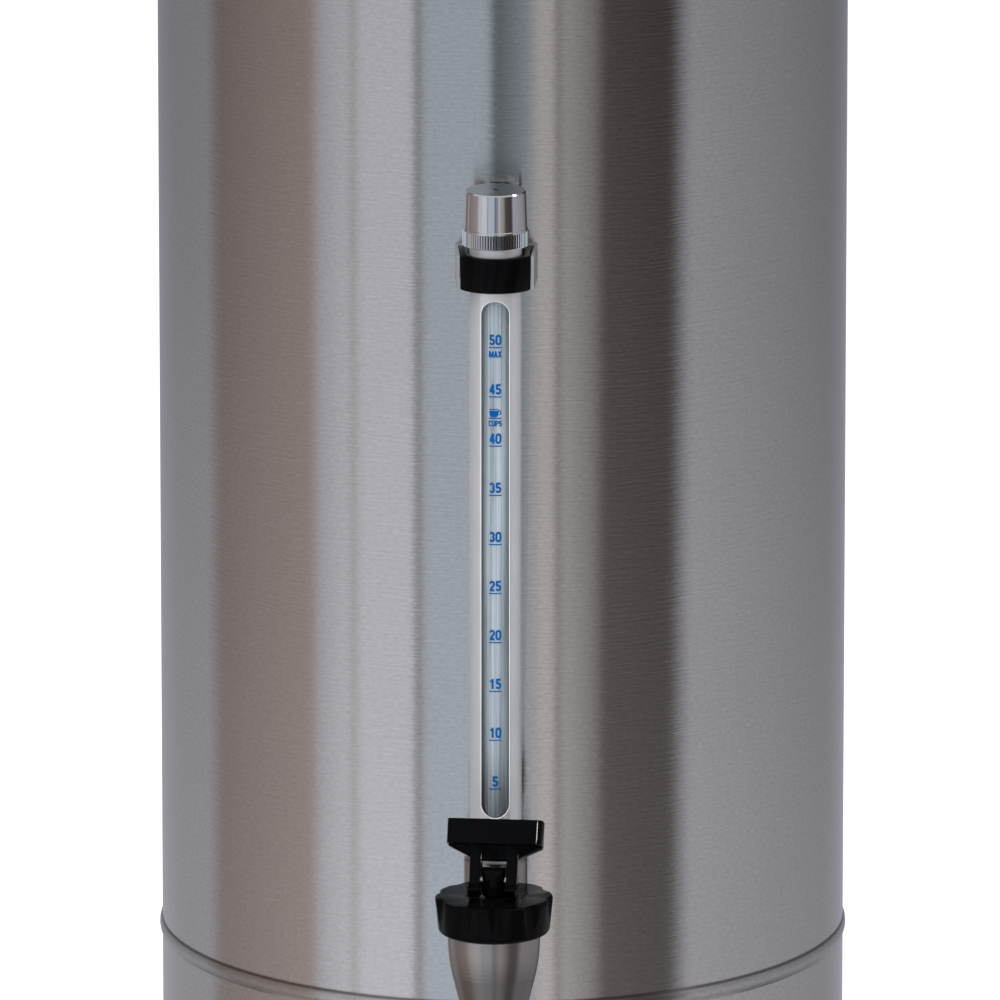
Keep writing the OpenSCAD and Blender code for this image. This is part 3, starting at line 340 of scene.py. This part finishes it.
STEEL = {"tint": (0.62, 0.605, 0.595), "rough": 0.15, "grip": 1.0, "contrast": 0.11, "relief": 0.3}
CHROME = {"tint": (0.80, 0.80, 0.81), "rough": 0.09}


def fluted_chrome(name, crest, depth, foot, top):
    """Bright chrome, with painted shade in the flutes of a band round the gauge axis, between two heights.
    """
    material = plated_metal(name, **CHROME)
    tree = material.node_tree
    shader = tree.nodes["Principled BSDF"]
    _, radius, z = around(tree, gauge_centre)
    sunk = maths(tree, "DIVIDE", maths(tree, "SUBTRACT", crest, radius), depth)
    banded = maths(tree, "MULTIPLY", maths(tree, "GREATER_THAN", z, foot), maths(tree, "LESS_THAN", z, top))
    # painted shade: the base colour darkens with depth down each flute
    flute_shade = ramp(tree, maths(tree, "MULTIPLY", sunk, banded), [(0.35, 1.0), (0.95, 0.4)])
    tree.links.new(times(tree, feeding(shader, "Base Color"), flute_shade), shader.inputs["Base Color"])
    return material


def beaded_steel(name, wall_radius, crease, rough, reach):
    """The wall's brushed steel, duller on the bead, which stands out past the wall's radius, with painted
    shade along the crease over it."""
    material = brushed_metal(name, **STEEL)
    tree = material.node_tree
    shader = tree.nodes["Principled BSDF"]
    _, radius, z = around(tree)
    raised = maths(tree, "MULTIPLY", maths(tree, "GREATER_THAN", radius, wall_radius), rough)
    off = maths(tree, "DIVIDE", maths(tree, "ABSOLUTE", maths(tree, "SUBTRACT", z, crease)), reach)
    # painted shade: the base colour darkens in a thin line along the crease over the bead
    crease_shade = ramp(tree, off, [(0.25, (0.42, 0.38, 0.37)), (1.0, (1.0, 1.0, 1.0))])
    tree.links.new(maths(tree, "MAXIMUM", feeding(shader, "Roughness"), raised), shader.inputs["Roughness"])
    tree.links.new(times(tree, feeding(shader, "Base Color"), crease_shade), shader.inputs["Base Color"])
    return material


finishes = {
    "brushed_steel": brushed_metal("brushed_steel", **STEEL),
    "plain_steel": brushed_metal("plain_steel", (0.60, 0.60, 0.60), 0.34, contrast=0.06),
    "satin_chrome": plated_metal("satin_chrome", (0.375, 0.345, 0.33), 0.24),
    "bright_chrome": plated_metal("bright_chrome", **CHROME),
    "satin_aluminium": plated_metal("satin_aluminium", (0.80, 0.80, 0.82), 0.45, 0.75),
    "gloss_black": moulded_plastic("gloss_black", (0.0016, 0.0016, 0.0018), 0.1, 0.02,
                                   Specular_IOR_Level=0.06),
    "matte_black": moulded_plastic("matte_black", (0.018, 0.018, 0.019), 0.46, 0.25),
    "red_plastic": moulded_plastic("red_plastic", (0.40, 0.015, 0.012), 0.25, 0.05),
    "amber_lens": moulded_plastic("amber_lens", (0.75, 0.26, 0.02), 0.12, 0.02, Coat_Weight=0.5),
    "green_lens": moulded_plastic("green_lens", (0.05, 0.40, 0.08), 0.12, 0.02, Coat_Weight=0.5),
    "silicone": moulded_plastic("silicone", (0.72, 0.72, 0.69), 0.5, 0.08),
    "black_rubber": moulded_plastic("black_rubber", (0.016, 0.016, 0.016), 0.7, 0.3),
    "zinc_steel": plated_metal("zinc_steel", (0.62, 0.62, 0.61), 0.28),
    "brass": plated_metal("brass", (0.72, 0.53, 0.22), 0.25),
    "element_sheath": plated_metal("element_sheath", (0.25, 0.23, 0.22), 0.45),
    "wire_insulation": moulded_plastic("wire_insulation", (0.28, 0.11, 0.045), 0.45),
    "glass": drawn_glass("gauge_glass", (0.61, 0.70, 0.77), 0.5, WINDOW_FOOT, 0.022),
}
cap_foot = float(corners("gauge_cap")[0][2])
crease = float(corners("body_shell")[0][2]) + BEAD_CREASE
wall_radius = half_width("body_shell") - BEAD_OUT
own_finishes = {
    "body_shell": beaded_steel("beaded_steel", wall_radius + HAIR, crease, 0.24, 0.0008),
    "gauge_cap": fluted_chrome("fluted_chrome", half_width("gauge_cap"), FLUTE_DEPTH,
                               cap_foot + FLUTE_MARGIN, cap_foot + FLUTE_HEIGHT - FLUTE_MARGIN),
    "gauge_bracket": plated_metal("bracket_steel", (0.47, 0.47, 0.48), 0.36, 0.7),
}
for row in record["subparts"]:
    mesh = nodes[row["node"]].data
    mesh.materials.clear()
    mesh.materials.append(own_finishes.get(row["node"], finishes[row["material_slot"]]))


# Pieces

def new_piece(name, mesh, body, material):
    """A piece at the origin that rides on a body."""
    piece = bpy.data.objects.new(name, mesh)
    scene.collection.objects.link(piece)
    mesh.materials.clear()
    mesh.materials.append(material)
    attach(piece, body)
    return piece


def put_together(parts):
    """One list of points and one of faces from parts of (points, faces)."""
    first = np.cumsum([0] + [len(points) for points, _ in parts])
    faces = [[i + int(start) for i in face] for start, (_, cells) in zip(first, parts) for face in cells]
    return np.concatenate([points for points, _ in parts]), faces


def joined(name, parts):
    """One mesh from parts of (points in space, faces)."""
    points, faces = put_together(parts)
    mesh = bpy.data.meshes.new(name)
    mesh.from_pydata(points, [], faces)
    return mesh


def grid_faces(rows, columns):
    """Faces of a grid that has one point more than rows and columns, counted along its rows."""
    first = (np.arange(rows)[:, None] * (columns + 1) + np.arange(columns)).ravel()
    return np.stack([first, first + 1, first + columns + 2, first + columns + 1], 1).tolist()


# Printed scale on the glass

FIRST_MARK = 0.18456
MARK_STEP = 0.016267
MARKS = 10
CUPS_A_MARK = 5
MARK_WIDTH = 0.0041
MARK_HEIGHT = 0.0004
DIGIT_WIDTHS = {1: 0.0019, 2: 0.0039}
DIGIT_HEIGHT = 0.0034
DIGIT_LIFT = 0.0006
print_radius = half_width("gauge_glass") + HAIR


def wrapped(flat):
    """Points (across, up) of a flat print, laid round the front of the glass: turn = across / radius."""
    turn = flat[:, 0] / print_radius
    x = gauge_axis[0] + print_radius * np.sin(turn)
    y = gauge_axis[1] - print_radius * np.cos(turn)
    return np.stack([x, y, flat[:, 1]], 1)


def arc(centre, reach, start, stop, count=9):
    """Points on part of an ellipse between two angles in degrees."""
    angle = np.radians(np.linspace(start, stop, count))
    return np.array(centre) + np.stack([np.cos(angle), np.sin(angle)], 1) * np.array(reach)


def finely(path, step=0.1):
    """The same path with points added, so that it can follow the round of the glass."""
    path = np.asarray(path, float)
    along = np.concatenate([[0], np.cumsum(np.linalg.norm(np.diff(path, axis=0), axis=1))])
    places = np.unique(np.round(np.concatenate([along, np.arange(step, along[-1], step)]), 4))
    return np.stack([np.interp(places, along, path[:, side]) for side in (0, 1)], 1)


def ribbon(path, width):
    """A line of even width along a path: each point steps half the width to both sides, square to the mean
    of its runs."""
    path = finely(path)
    run = np.diff(path, axis=0)
    run /= np.linalg.norm(run, axis=1, keepdims=True)
    before, after = np.vstack([run[:1], run]), np.vstack([run, run[-1:]])
    side = (before + after)[:, ::-1] * [-1, 1]
    side /= np.linalg.norm(side, axis=1, keepdims=True)
    reach = width / 2 / np.maximum((side * after[:, ::-1] * [-1, 1]).sum(1, keepdims=True), 0.6)
    points = np.concatenate([path - side * reach, path + side * reach])
    return points, grid_faces(1, len(path) - 1)


# Letters of the scale as paths of a line 0.22 wide: each is its width and its strokes, one unit high.
LINE = 0.22
LETTER_GAP = 0.07
BOWL = (0.21, 0.21)
SMALL_BOWL = (0.2, 0.2)
LETTERS = {
    "0": (0.6, [np.vstack([arc((0.3, 0.7), BOWL, 0, 180), arc((0.3, 0.3), BOWL, 180, 360), [(0.51, 0.7)]])]),
    "1": (0.6, [[(0.35, 0), (0.35, 1)], [(0.37, 0.87), (0.3, 0.8), (0.1, 0.72)]]),
    "2": (0.6, [np.vstack([arc((0.3, 0.7), BOWL, 175, -25), [(0.14, 0.13)]]), [(0.05, 0.09), (0.55, 0.09)]]),
    "3": (0.6, [arc((0.28, 0.71), SMALL_BOWL, 165, -80), arc((0.29, 0.3), BOWL, 85, -165)]),
    "4": (0.6, [[(0.42, 0), (0.42, 1)], [(0.4, 0.94), (0.09, 0.31)], [(0.02, 0.3), (0.6, 0.3)]]),
    "5": (0.6, [[(0.54, 0.91), (0.16, 0.91), (0.12, 0.5)], arc((0.29, 0.32), (0.22, 0.23), 140, -160)]),
    "M": (0.82, [[(0.09, 0), (0.09, 1)], [(0.73, 0), (0.73, 1)], [(0.12, 0.98), (0.41, 0.1), (0.7, 0.98)]]),
    "A": (0.68, [[(0.08, 0), (0.34, 0.96), (0.6, 0)], [(0.16, 0.27), (0.52, 0.27)]]),
    "X": (0.64, [[(0.08, 0), (0.56, 1)], [(0.56, 0), (0.08, 1)]]),
    "C": (0.6, [np.vstack([arc((0.3, 0.7), BOWL, 10, 180), arc((0.3, 0.3), BOWL, 180, 350)])]),
    "U": (0.6, [np.vstack([[(0.09, 1)], arc((0.3, 0.3), BOWL, 180, 360), [(0.51, 1)]])]),
    "P": (0.58, [[(0.09, 0), (0.09, 1)],
                 np.vstack([[(0.09, 0.91)], arc((0.28, 0.69), (0.21, 0.22), 90, -90), [(0.09, 0.47)]])]),
    "S": (0.58, [np.vstack([arc((0.29, 0.71), SMALL_BOWL, 20, 250),
                            arc((0.29, 0.29), SMALL_BOWL, 70, -160)])]),
}


def words(text, width, height, line=LINE):
    """A word of stroke letters as flat points and faces, fitted to a box that is centred across and stands
    on zero."""
    parts, start = [], 0.0
    for letter in text:
        wide, paths = LETTERS[letter]
        parts += [ribbon(np.asarray(path) + [start, 0], line) for path in paths]
        start += wide + LETTER_GAP
    whole = start - LETTER_GAP
    points, faces = put_together(parts)
    return (points - [whole / 2, 0]) * [width / whole, height], faces


def bar(width, height, columns=10):
    """A flat bar centred across, as a grid one cell high."""
    across = np.linspace(-width / 2, width / 2, columns + 1)
    points = [np.stack([across, np.full_like(across, up)], 1) for up in (0, height)]
    return np.concatenate(points), grid_faces(1, columns)


def ring_band(centre, inner, outer, start, stop, columns=16):
    """Part of a flat ring between two angles, as a grid one cell wide."""
    angle = np.radians(np.linspace(start, stop, columns + 1))
    way = np.stack([np.cos(angle), np.sin(angle)], 1)
    return np.array(centre) + np.concatenate([outer * way, inner * way]), grid_faces(1, columns)


def cup_bowl(width, height, rows=8, columns=8):
    """The side view of a cup as a grid: its half width falls from the brim to 0.55 of it at the foot, by the
    root of 1 - (1 - height)^3."""
    up, across = np.meshgrid(np.linspace(0, 1, rows + 1), np.linspace(-1, 1, columns + 1), indexing="ij")
    half = width / 2 * (0.55 + 0.45 * np.sqrt(1 - (1 - up) ** 3))
    return np.stack([(across * half).ravel(), (up * height).ravel()], 1), grid_faces(rows, columns)


def printed(flat, across, up):
    """A flat part of (points, faces), moved to its place and laid on the glass."""
    points, cells = flat
    return wrapped(points + np.array([across, up])), cells


def scale_prints():
    """The ten marks with their numbers, the word under the highest and the sign of a cup."""
    prints = []
    for step in range(MARKS):
        mark = FIRST_MARK + MARK_STEP * step
        number = str(CUPS_A_MARK * (step + 1))
        prints.append(printed(bar(MARK_WIDTH, MARK_HEIGHT), 0, mark - MARK_HEIGHT))
        prints.append(printed(words(number, DIGIT_WIDTHS[len(number)], DIGIT_HEIGHT), 0, mark + DIGIT_LIFT))
    highest = FIRST_MARK + MARK_STEP * (MARKS - 1)
    prints.append(printed(words("MAX", MARK_WIDTH, 0.0021, 0.25), 0, highest - 0.0035))
    sign = FIRST_MARK + MARK_STEP * 7.5 + 0.0007
    cup_width, cup_across = 0.0030, -0.0004
    prints.append(printed(words("CUPS", 0.0043, 0.0019, 0.24), 0, sign - 0.0025))
    prints.append(printed(bar(MARK_WIDTH, MARK_HEIGHT), 0, sign))
    prints.append(printed(cup_bowl(cup_width, 0.0021), cup_across, sign + 0.0006))
    prints.append(printed(bar(cup_width, 0.0003), cup_across, sign + 0.0030))
    prints.append(printed(ring_band((0.0011, 0.0020), 0.0005, 0.0009, -75, 95), 0, sign))
    return prints


scale_ink = printing_ink("scale_ink", (0.0002, 0.08, 0.28), 0.85, 1.1, 0.05)
new_piece("gauge_scale", joined("gauge_scale", scale_prints()), "urn", scale_ink)


# Marks on the rocker

def on_face(node, flat, probe=0.002):
    """Points (across, up) laid on a flat face that looks towards -Y: three rays find the face's plane."""
    probes = np.array([[0, 0], [probe, 0], [0, probe]]) + flat.mean(0)
    hits = np.array([nodes[node].ray_cast((x, -1, z), (0, 1, 0))[1] for x, z in probes])
    normal = np.cross(hits[1] - hits[0], hits[2] - hits[0])
    normal /= np.linalg.norm(normal)
    depth = hits[0][1] - ((flat - probes[0]) @ normal[[0, 2]]) / normal[1]
    return np.stack([flat[:, 0], depth, flat[:, 1]], 1) + HAIR * normal * -np.sign(normal[1])


def rocker_prints():
    """A stroke on the rocker's upper half and a ring on its lower half."""
    centre = middle("switch_rocker")[[0, 2]]
    stroke = bar(0.0007, 0.0036, 2), 0.0038
    ring = ring_band((0, 0.0018), 0.0013, 0.0019, 0, 360, 40), -0.0077
    prints = []
    for (flat, cells), up in (stroke, ring):
        prints.append((on_face("switch_rocker", flat + centre + [0, up]), cells))
    return prints


white_ink = printing_ink("white_ink", (1.0, 1.0, 1.0), 0.72, 0.80, 0.3)
new_piece("rocker_marks", joined("rocker_marks", rocker_prints()), "rocker", white_ink)


# The closing spring, a wound wire that takes the place of the spring's solid

SPRING_WIRE = 0.001
SPRING_TURNS = 6


def wound_wire(low, high, wire, turns, rings=24, sides=10):
    """One round wire wound round a box's upright axis: its rings stand evenly round the turns and rise
    evenly from the box's foot to its top."""
    count = rings * turns
    share, side = np.meshgrid(np.linspace(0, 1, count + 1), np.arange(sides) / sides, indexing="ij")
    turn, roll = 2 * np.pi * turns * share, 2 * np.pi * side
    reach = (high[0] - low[0]) / 2 - wire / 2 + wire / 2 * np.cos(roll)
    rise = low[2] + wire / 2 + (high[2] - low[2] - wire) * share + wire / 2 * np.sin(roll)
    centre = (low + high) / 2
    points = np.stack([centre[0] + reach * np.cos(turn), centre[1] + reach * np.sin(turn), rise], 2)
    ring, step = np.meshgrid(np.arange(count), np.arange(sides), indexing="ij")
    first, second = ring * sides + step, ring * sides + (step + 1) % sides
    walls = np.stack([first, second, second + sides, first + sides], 2).reshape(-1, 4).tolist()
    ends = [list(range(sides))[::-1], list(range(count * sides, (count + 1) * sides))]
    return points.reshape(-1, 3), walls + ends


spring_low, spring_high = corners("tap_spring")
spring_body, spring_slot = held_by("tap_spring")
spring_mesh = joined("closing_spring", [wound_wire(spring_low, spring_high, SPRING_WIRE, SPRING_TURNS)])
spring_mesh.shade_smooth()
spring = new_piece("closing_spring", spring_mesh, spring_body, finishes[spring_slot])
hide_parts("tap_spring")
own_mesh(spring)


# Pieces with softened edges

def softened(node, width):
    """A merged copy of a node with flat faces made whole and its edges rounded, standing for the node."""
    body, slot = held_by(node)
    shape = bmesh.new()
    shape.from_mesh(nodes[node].data)
    bmesh.ops.remove_doubles(shape, verts=shape.verts, dist=1e-6)
    bmesh.ops.dissolve_limit(shape, angle_limit=math.radians(0.3), verts=shape.verts, edges=shape.edges)
    mesh = bpy.data.meshes.new(node + "_soft")
    shape.to_mesh(mesh)
    shape.free()
    mesh.shade_smooth()
    piece = new_piece(node + "_soft", mesh, body, finishes[slot])
    round_over = piece.modifiers.new("round_over", "BEVEL")
    round_over.width = width
    round_over.segments = 3
    round_over.limit_method = "ANGLE"
    round_over.angle_limit = math.radians(25)
    round_over.harden_normals = True
    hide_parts(node)


EDGE_WIDTHS = {
    "gauge_shield": 0.00025,
    "tap_lever": 0.0012,
    "tap_bonnet": 0.0006,
    "gauge_clip": 0.0005,
    "control_panel": 0.0006,
    "switch_housing": 0.0004,
}
for node, width in EDGE_WIDTHS.items():
    softened(node, width)


# Bright edge round the gauge's window

LIP = 0.00016


def window_path(half, foot, top, count=25, rows=60):
    """The window's outline as (across, up): two upright sides joined by half circles, without its first
    point again."""
    lower, upper = foot + half, top - half
    rise = np.linspace(lower, upper, rows)[1:-1]
    left = np.stack([np.full_like(rise, -half), rise[::-1]], 1)
    right = np.stack([np.full_like(rise, half), rise], 1)
    round_end = (half, half)
    return np.vstack([arc((0, upper), round_end, 0, 180, count), left,
                      arc((0, lower), round_end, 180, 360, count), right])


def lip_along(path, reach, thick, sides=10):
    """A closed round lip on a tube of radius reach round the gauge axis: each point of the path sits at
    depth = sqrt(reach^2 - across^2), and the lip's ring there spans the outward way and the way square to
    the path."""
    across, up = path.T
    out = np.stack([across, -np.sqrt(reach ** 2 - across ** 2), np.zeros_like(across)], 1)
    points = out + np.array([gauge_axis[0], gauge_axis[1], 0]) + up[:, None] * [0, 0, 1]
    along = np.roll(points, -1, 0) - np.roll(points, 1, 0)
    along /= np.linalg.norm(along, axis=1, keepdims=True)
    out /= reach
    beside = np.cross(along, out)
    roll = 2 * np.pi * np.arange(sides)[None, :, None] / sides
    rings = points[:, None] + thick * (np.cos(roll) * out[:, None] + np.sin(roll) * beside[:, None])
    ring, step = np.meshgrid(np.arange(len(path)), np.arange(sides), indexing="ij")
    here, there = ring * sides, (ring + 1) % len(path) * sides
    after = (step + 1) % sides
    faces = np.stack([here + step, there + step, there + after, here + after], 2)
    return rings.reshape(-1, 3), faces.reshape(-1, 4).tolist()


window_outline = window_path(WINDOW_HALF, WINDOW_FOOT, WINDOW_TOP)
window_lip = joined("window_lip", [lip_along(window_outline, half_width("gauge_shield"), LIP)])
window_lip.shade_smooth()
cut_edge = plated_metal("cut_edge", (0.84, 0.84, 0.84), 0.35, 0.3)
new_piece("window_lip", window_lip, "urn", cut_edge)


# Studio: floor, surround and lamps

def stage_paint(name):
    """A material with an empty tree, for the studio."""
    paint = bpy.data.materials.new(name)
    paint.use_nodes = True
    paint.node_tree.nodes.clear()
    return paint, paint.node_tree


def new_stage(name, points, faces, material):
    """A piece of the studio, which isn't part of the object."""
    mesh = bpy.data.meshes.new(name)
    mesh.from_pydata(points, [], faces)
    mesh.materials.append(material)
    piece = bpy.data.objects.new(name, mesh)
    scene.collection.objects.link(piece)
    return piece


def ring_of_points(count, radius):
    """Points (x, y) evenly round a circle, from the front on to the right."""
    turn = 2 * np.pi * np.arange(count) / count
    return np.stack([radius * np.sin(turn), -radius * np.cos(turn)], 1)


FLOOR_SIDES = 64
FLOOR_RADIUS = 40
floor_paint, tree = stage_paint("floor_paint")
paper = add(tree, "ShaderNodeBsdfDiffuse", inputs={"Color": (0.80, 0.80, 0.80, 1)})
glow = add(tree, "ShaderNodeEmission", inputs={"Color": (1, 1, 1, 1), "Strength": 0.55})
both = add(tree, "ShaderNodeAddShader", inputs={0: paper.outputs[0], 1: glow.outputs[0]})
rays = add(tree, "ShaderNodeLightPath").outputs
mirrored = maths(tree, "ADD", rays["Is Glossy Ray"], rays["Is Transmission Ray"])
seen = maths(tree, "MINIMUM", maths(tree, "ADD", rays["Is Camera Ray"], mirrored), 1.0)
pick = add(tree, "ShaderNodeMixShader", inputs={0: seen, 1: paper.outputs[0], 2: both.outputs[0]})
tree.links.new(pick.outputs[0], add(tree, "ShaderNodeOutputMaterial").inputs[0])
floor_edge = np.c_[ring_of_points(FLOOR_SIDES, FLOOR_RADIUS), np.zeros(FLOOR_SIDES)]
floor_faces = [(0, i + 1, (i + 1) % FLOOR_SIDES + 1) for i in range(FLOOR_SIDES)]
floor = new_stage("floor", np.concatenate([np.zeros((1, 3)), floor_edge]), floor_faces, floor_paint)
floor.visible_glossy = False

# The surround is a ring of light and dark cards, seen only in reflections, which stands for a plain room.
# Each card has its bearings from the front, in degrees to the right, its brightness at both sides, and its
# tint.
WARM = (1.15, 0.95, 0.90)
PLAIN = (1.03, 0.99, 0.98)
COOL = (0.97, 0.98, 1.08)
BLUE = (0.88, 1.0, 1.14)
CARDS = {
    "left_wall": (-136, -112, 0.29, 0.33, COOL),
    "left_cupboard": (-105, -64, 0.20, 0.32, WARM),
    "window_side": (-60, -50, 0.53, 0.66, COOL),
    "window_bar": (-48, -47.5, 0.46, 0.46, PLAIN),
    "window": (-46, -28, 0.70, 0.70, COOL),
    "window_post": (-27, -25.5, 0.29, 0.29, PLAIN),
    "blue_pane": (-24, -3.5, 0.56, 0.56, BLUE),
    "dark_gap": (-1.5, 9, 0.16, 0.36, BLUE),
    "lit_panel": (13, 17, 0.55, 0.55, PLAIN),
    "panel_gap": (18, 18.5, 0.24, 0.24, PLAIN),
    "right_cupboard": (20.5, 30, 0.42, 0.25, PLAIN),
    "doorway": (34, 57, 0.08, 0.05, WARM),
    "right_wall": (64, 136, 0.41, 0.24, COOL),
}
BACK_CARD = (0.27, 0.28, 0.33)
BACK_FROM = math.radians(138)
BACK_FULL = math.radians(176)
# How bright the cards are by height: brightest a little below the floor, darker further down and above.
SHARES = [(-1.3, 0.42), (-0.85, 0.42), (-0.28, 0.95), (0.17, 0.72), (0.35, 0.68), (1.6, 0.68)]
CARD_STRENGTH = 1.25
# A pale veil over the lower cards, which grows downwards from one height and then stays even.
VEIL_TOP = 0.17
VEIL_DEPTH = 0.45
VEIL_GROWTH = 0.17
SURROUND_RADIUS = 1.3
SURROUND_SIDES = 128
SURROUND_LOW = SHARES[0][0]
SURROUND_HIGH = SHARES[-1][0]


def card_stops():
    """Each card's two sides as ramp stops, a full turn being one."""
    for start, stop, first, last, tint in CARDS.values():
        for side, bright in ((start, first), (stop, last)):
            yield side / 360 + 0.5, tuple(bright * part for part in tint)


card_paint, tree = stage_paint("surround_cards")
bearing, _, z = around(tree)
turn_share = maths(tree, "ADD", maths(tree, "MULTIPLY", bearing, 0.5 / math.pi), 0.5)
tone = ramp(tree, turn_share, list(card_stops()))
behind = add(tree, "ShaderNodeMapRange", {"interpolation_type": "SMOOTHSTEP"},
             {"Value": maths(tree, "ABSOLUTE", bearing), "From Min": BACK_FROM, "From Max": BACK_FULL})
tone = blend(tree, "MIX", behind.outputs[0], tone, BACK_CARD)
surround_height = SURROUND_HIGH - SURROUND_LOW
height_share = maths(tree, "DIVIDE", maths(tree, "SUBTRACT", z, SURROUND_LOW), surround_height)
level = ramp(tree, height_share, [((up - SURROUND_LOW) / surround_height, bright) for up, bright in SHARES])
below = maths(tree, "MAXIMUM", maths(tree, "SUBTRACT", VEIL_TOP, z), 0.0)
lift = maths(tree, "MULTIPLY", maths(tree, "MINIMUM", below, VEIL_DEPTH), VEIL_GROWTH)
veil = add(tree, "ShaderNodeCombineColor", inputs={0: lift, 1: lift, 2: lift}).outputs[0]
light = add(tree, "ShaderNodeEmission", inputs={"Color": blend(tree, "ADD", 1.0, tone, veil),
                                                "Strength": maths(tree, "MULTIPLY", level, CARD_STRENGTH)})
tree.links.new(light.outputs[0], add(tree, "ShaderNodeOutputMaterial").inputs[0])
ring = ring_of_points(SURROUND_SIDES, SURROUND_RADIUS)
low_and_high = [np.c_[ring, np.full(SURROUND_SIDES, up)] for up in (SURROUND_LOW, SURROUND_HIGH)]
here = np.arange(SURROUND_SIDES)
there = (here + 1) % SURROUND_SIDES
surround_faces = np.stack([here, there, there + SURROUND_SIDES, here + SURROUND_SIDES], 1).tolist()
surround = new_stage("surround", np.concatenate(low_and_high), surround_faces, card_paint)
surround.visible_camera = False
surround.visible_diffuse = False
surround.visible_shadow = False

world = bpy.data.worlds.new("studio")
scene.world = world
world.use_nodes = True
tree = world.node_tree
tree.nodes.clear()
soft = add(tree, "ShaderNodeBackground", inputs={"Color": (0.96, 0.98, 1.0, 1), "Strength": 0.55})
white = add(tree, "ShaderNodeBackground", inputs={"Color": (1, 1, 1, 1), "Strength": 1.0})
rays = add(tree, "ShaderNodeLightPath").outputs
pick = add(tree, "ShaderNodeMixShader",
           inputs={0: rays["Is Camera Ray"], 1: soft.outputs[0], 2: white.outputs[0]})
tree.links.new(pick.outputs[0], add(tree, "ShaderNodeOutputWorld").inputs[0])


def soft_lamp(name, at, towards, size, watts):
    """A square area lamp at one place, turned towards another."""
    lamp = bpy.data.lights.new(name, "AREA")
    lamp.size = size
    lamp.energy = watts
    holder = bpy.data.objects.new(name, lamp)
    holder.location = at
    holder.rotation_euler = (Vector(towards) - Vector(at)).to_track_quat("-Z", "Y").to_euler()
    scene.collection.objects.link(holder)
    return holder


soft_lamp("top_lamp", (-0.35, -0.5, 1.5), (0, -0.05, 0.3), 0.7, 16).visible_glossy = False
soft_lamp("left_lamp", (-0.6, -1.25, 0.9), (0, 0, 0.25), 0.6, 7).visible_glossy = False
soft_lamp("right_lamp", (1.1, -0.7, 0.8), (0, 0, 0.25), 0.6, 6).visible_glossy = False
soft_lamp("glint_lamp", (0.87, 0.17, 1.44), (0, -0.12, 0.38), 0.18, 0.8)

# A tall warm lamp that only the lever mirrors, for the streak along the paddle's right corner.
streak_lamp = soft_lamp("streak_lamp", (0.21, -0.46, 0.346), (0.014, -0.155, 0.177), 0.08, 7.5)
streak_lamp.data.color = (1.0, 0.85, 0.76)
streak_lamp.data.shape = "RECTANGLE"
streak_lamp.data.size_y = 0.2
streak_lamp.visible_camera = False
streak_lamp.visible_diffuse = False
lever_only = bpy.data.collections.new("lever_only")
lever_only.objects.link(bpy.data.objects["tap_lever_soft"])
streak_lamp.light_linking.receiver_collection = lever_only
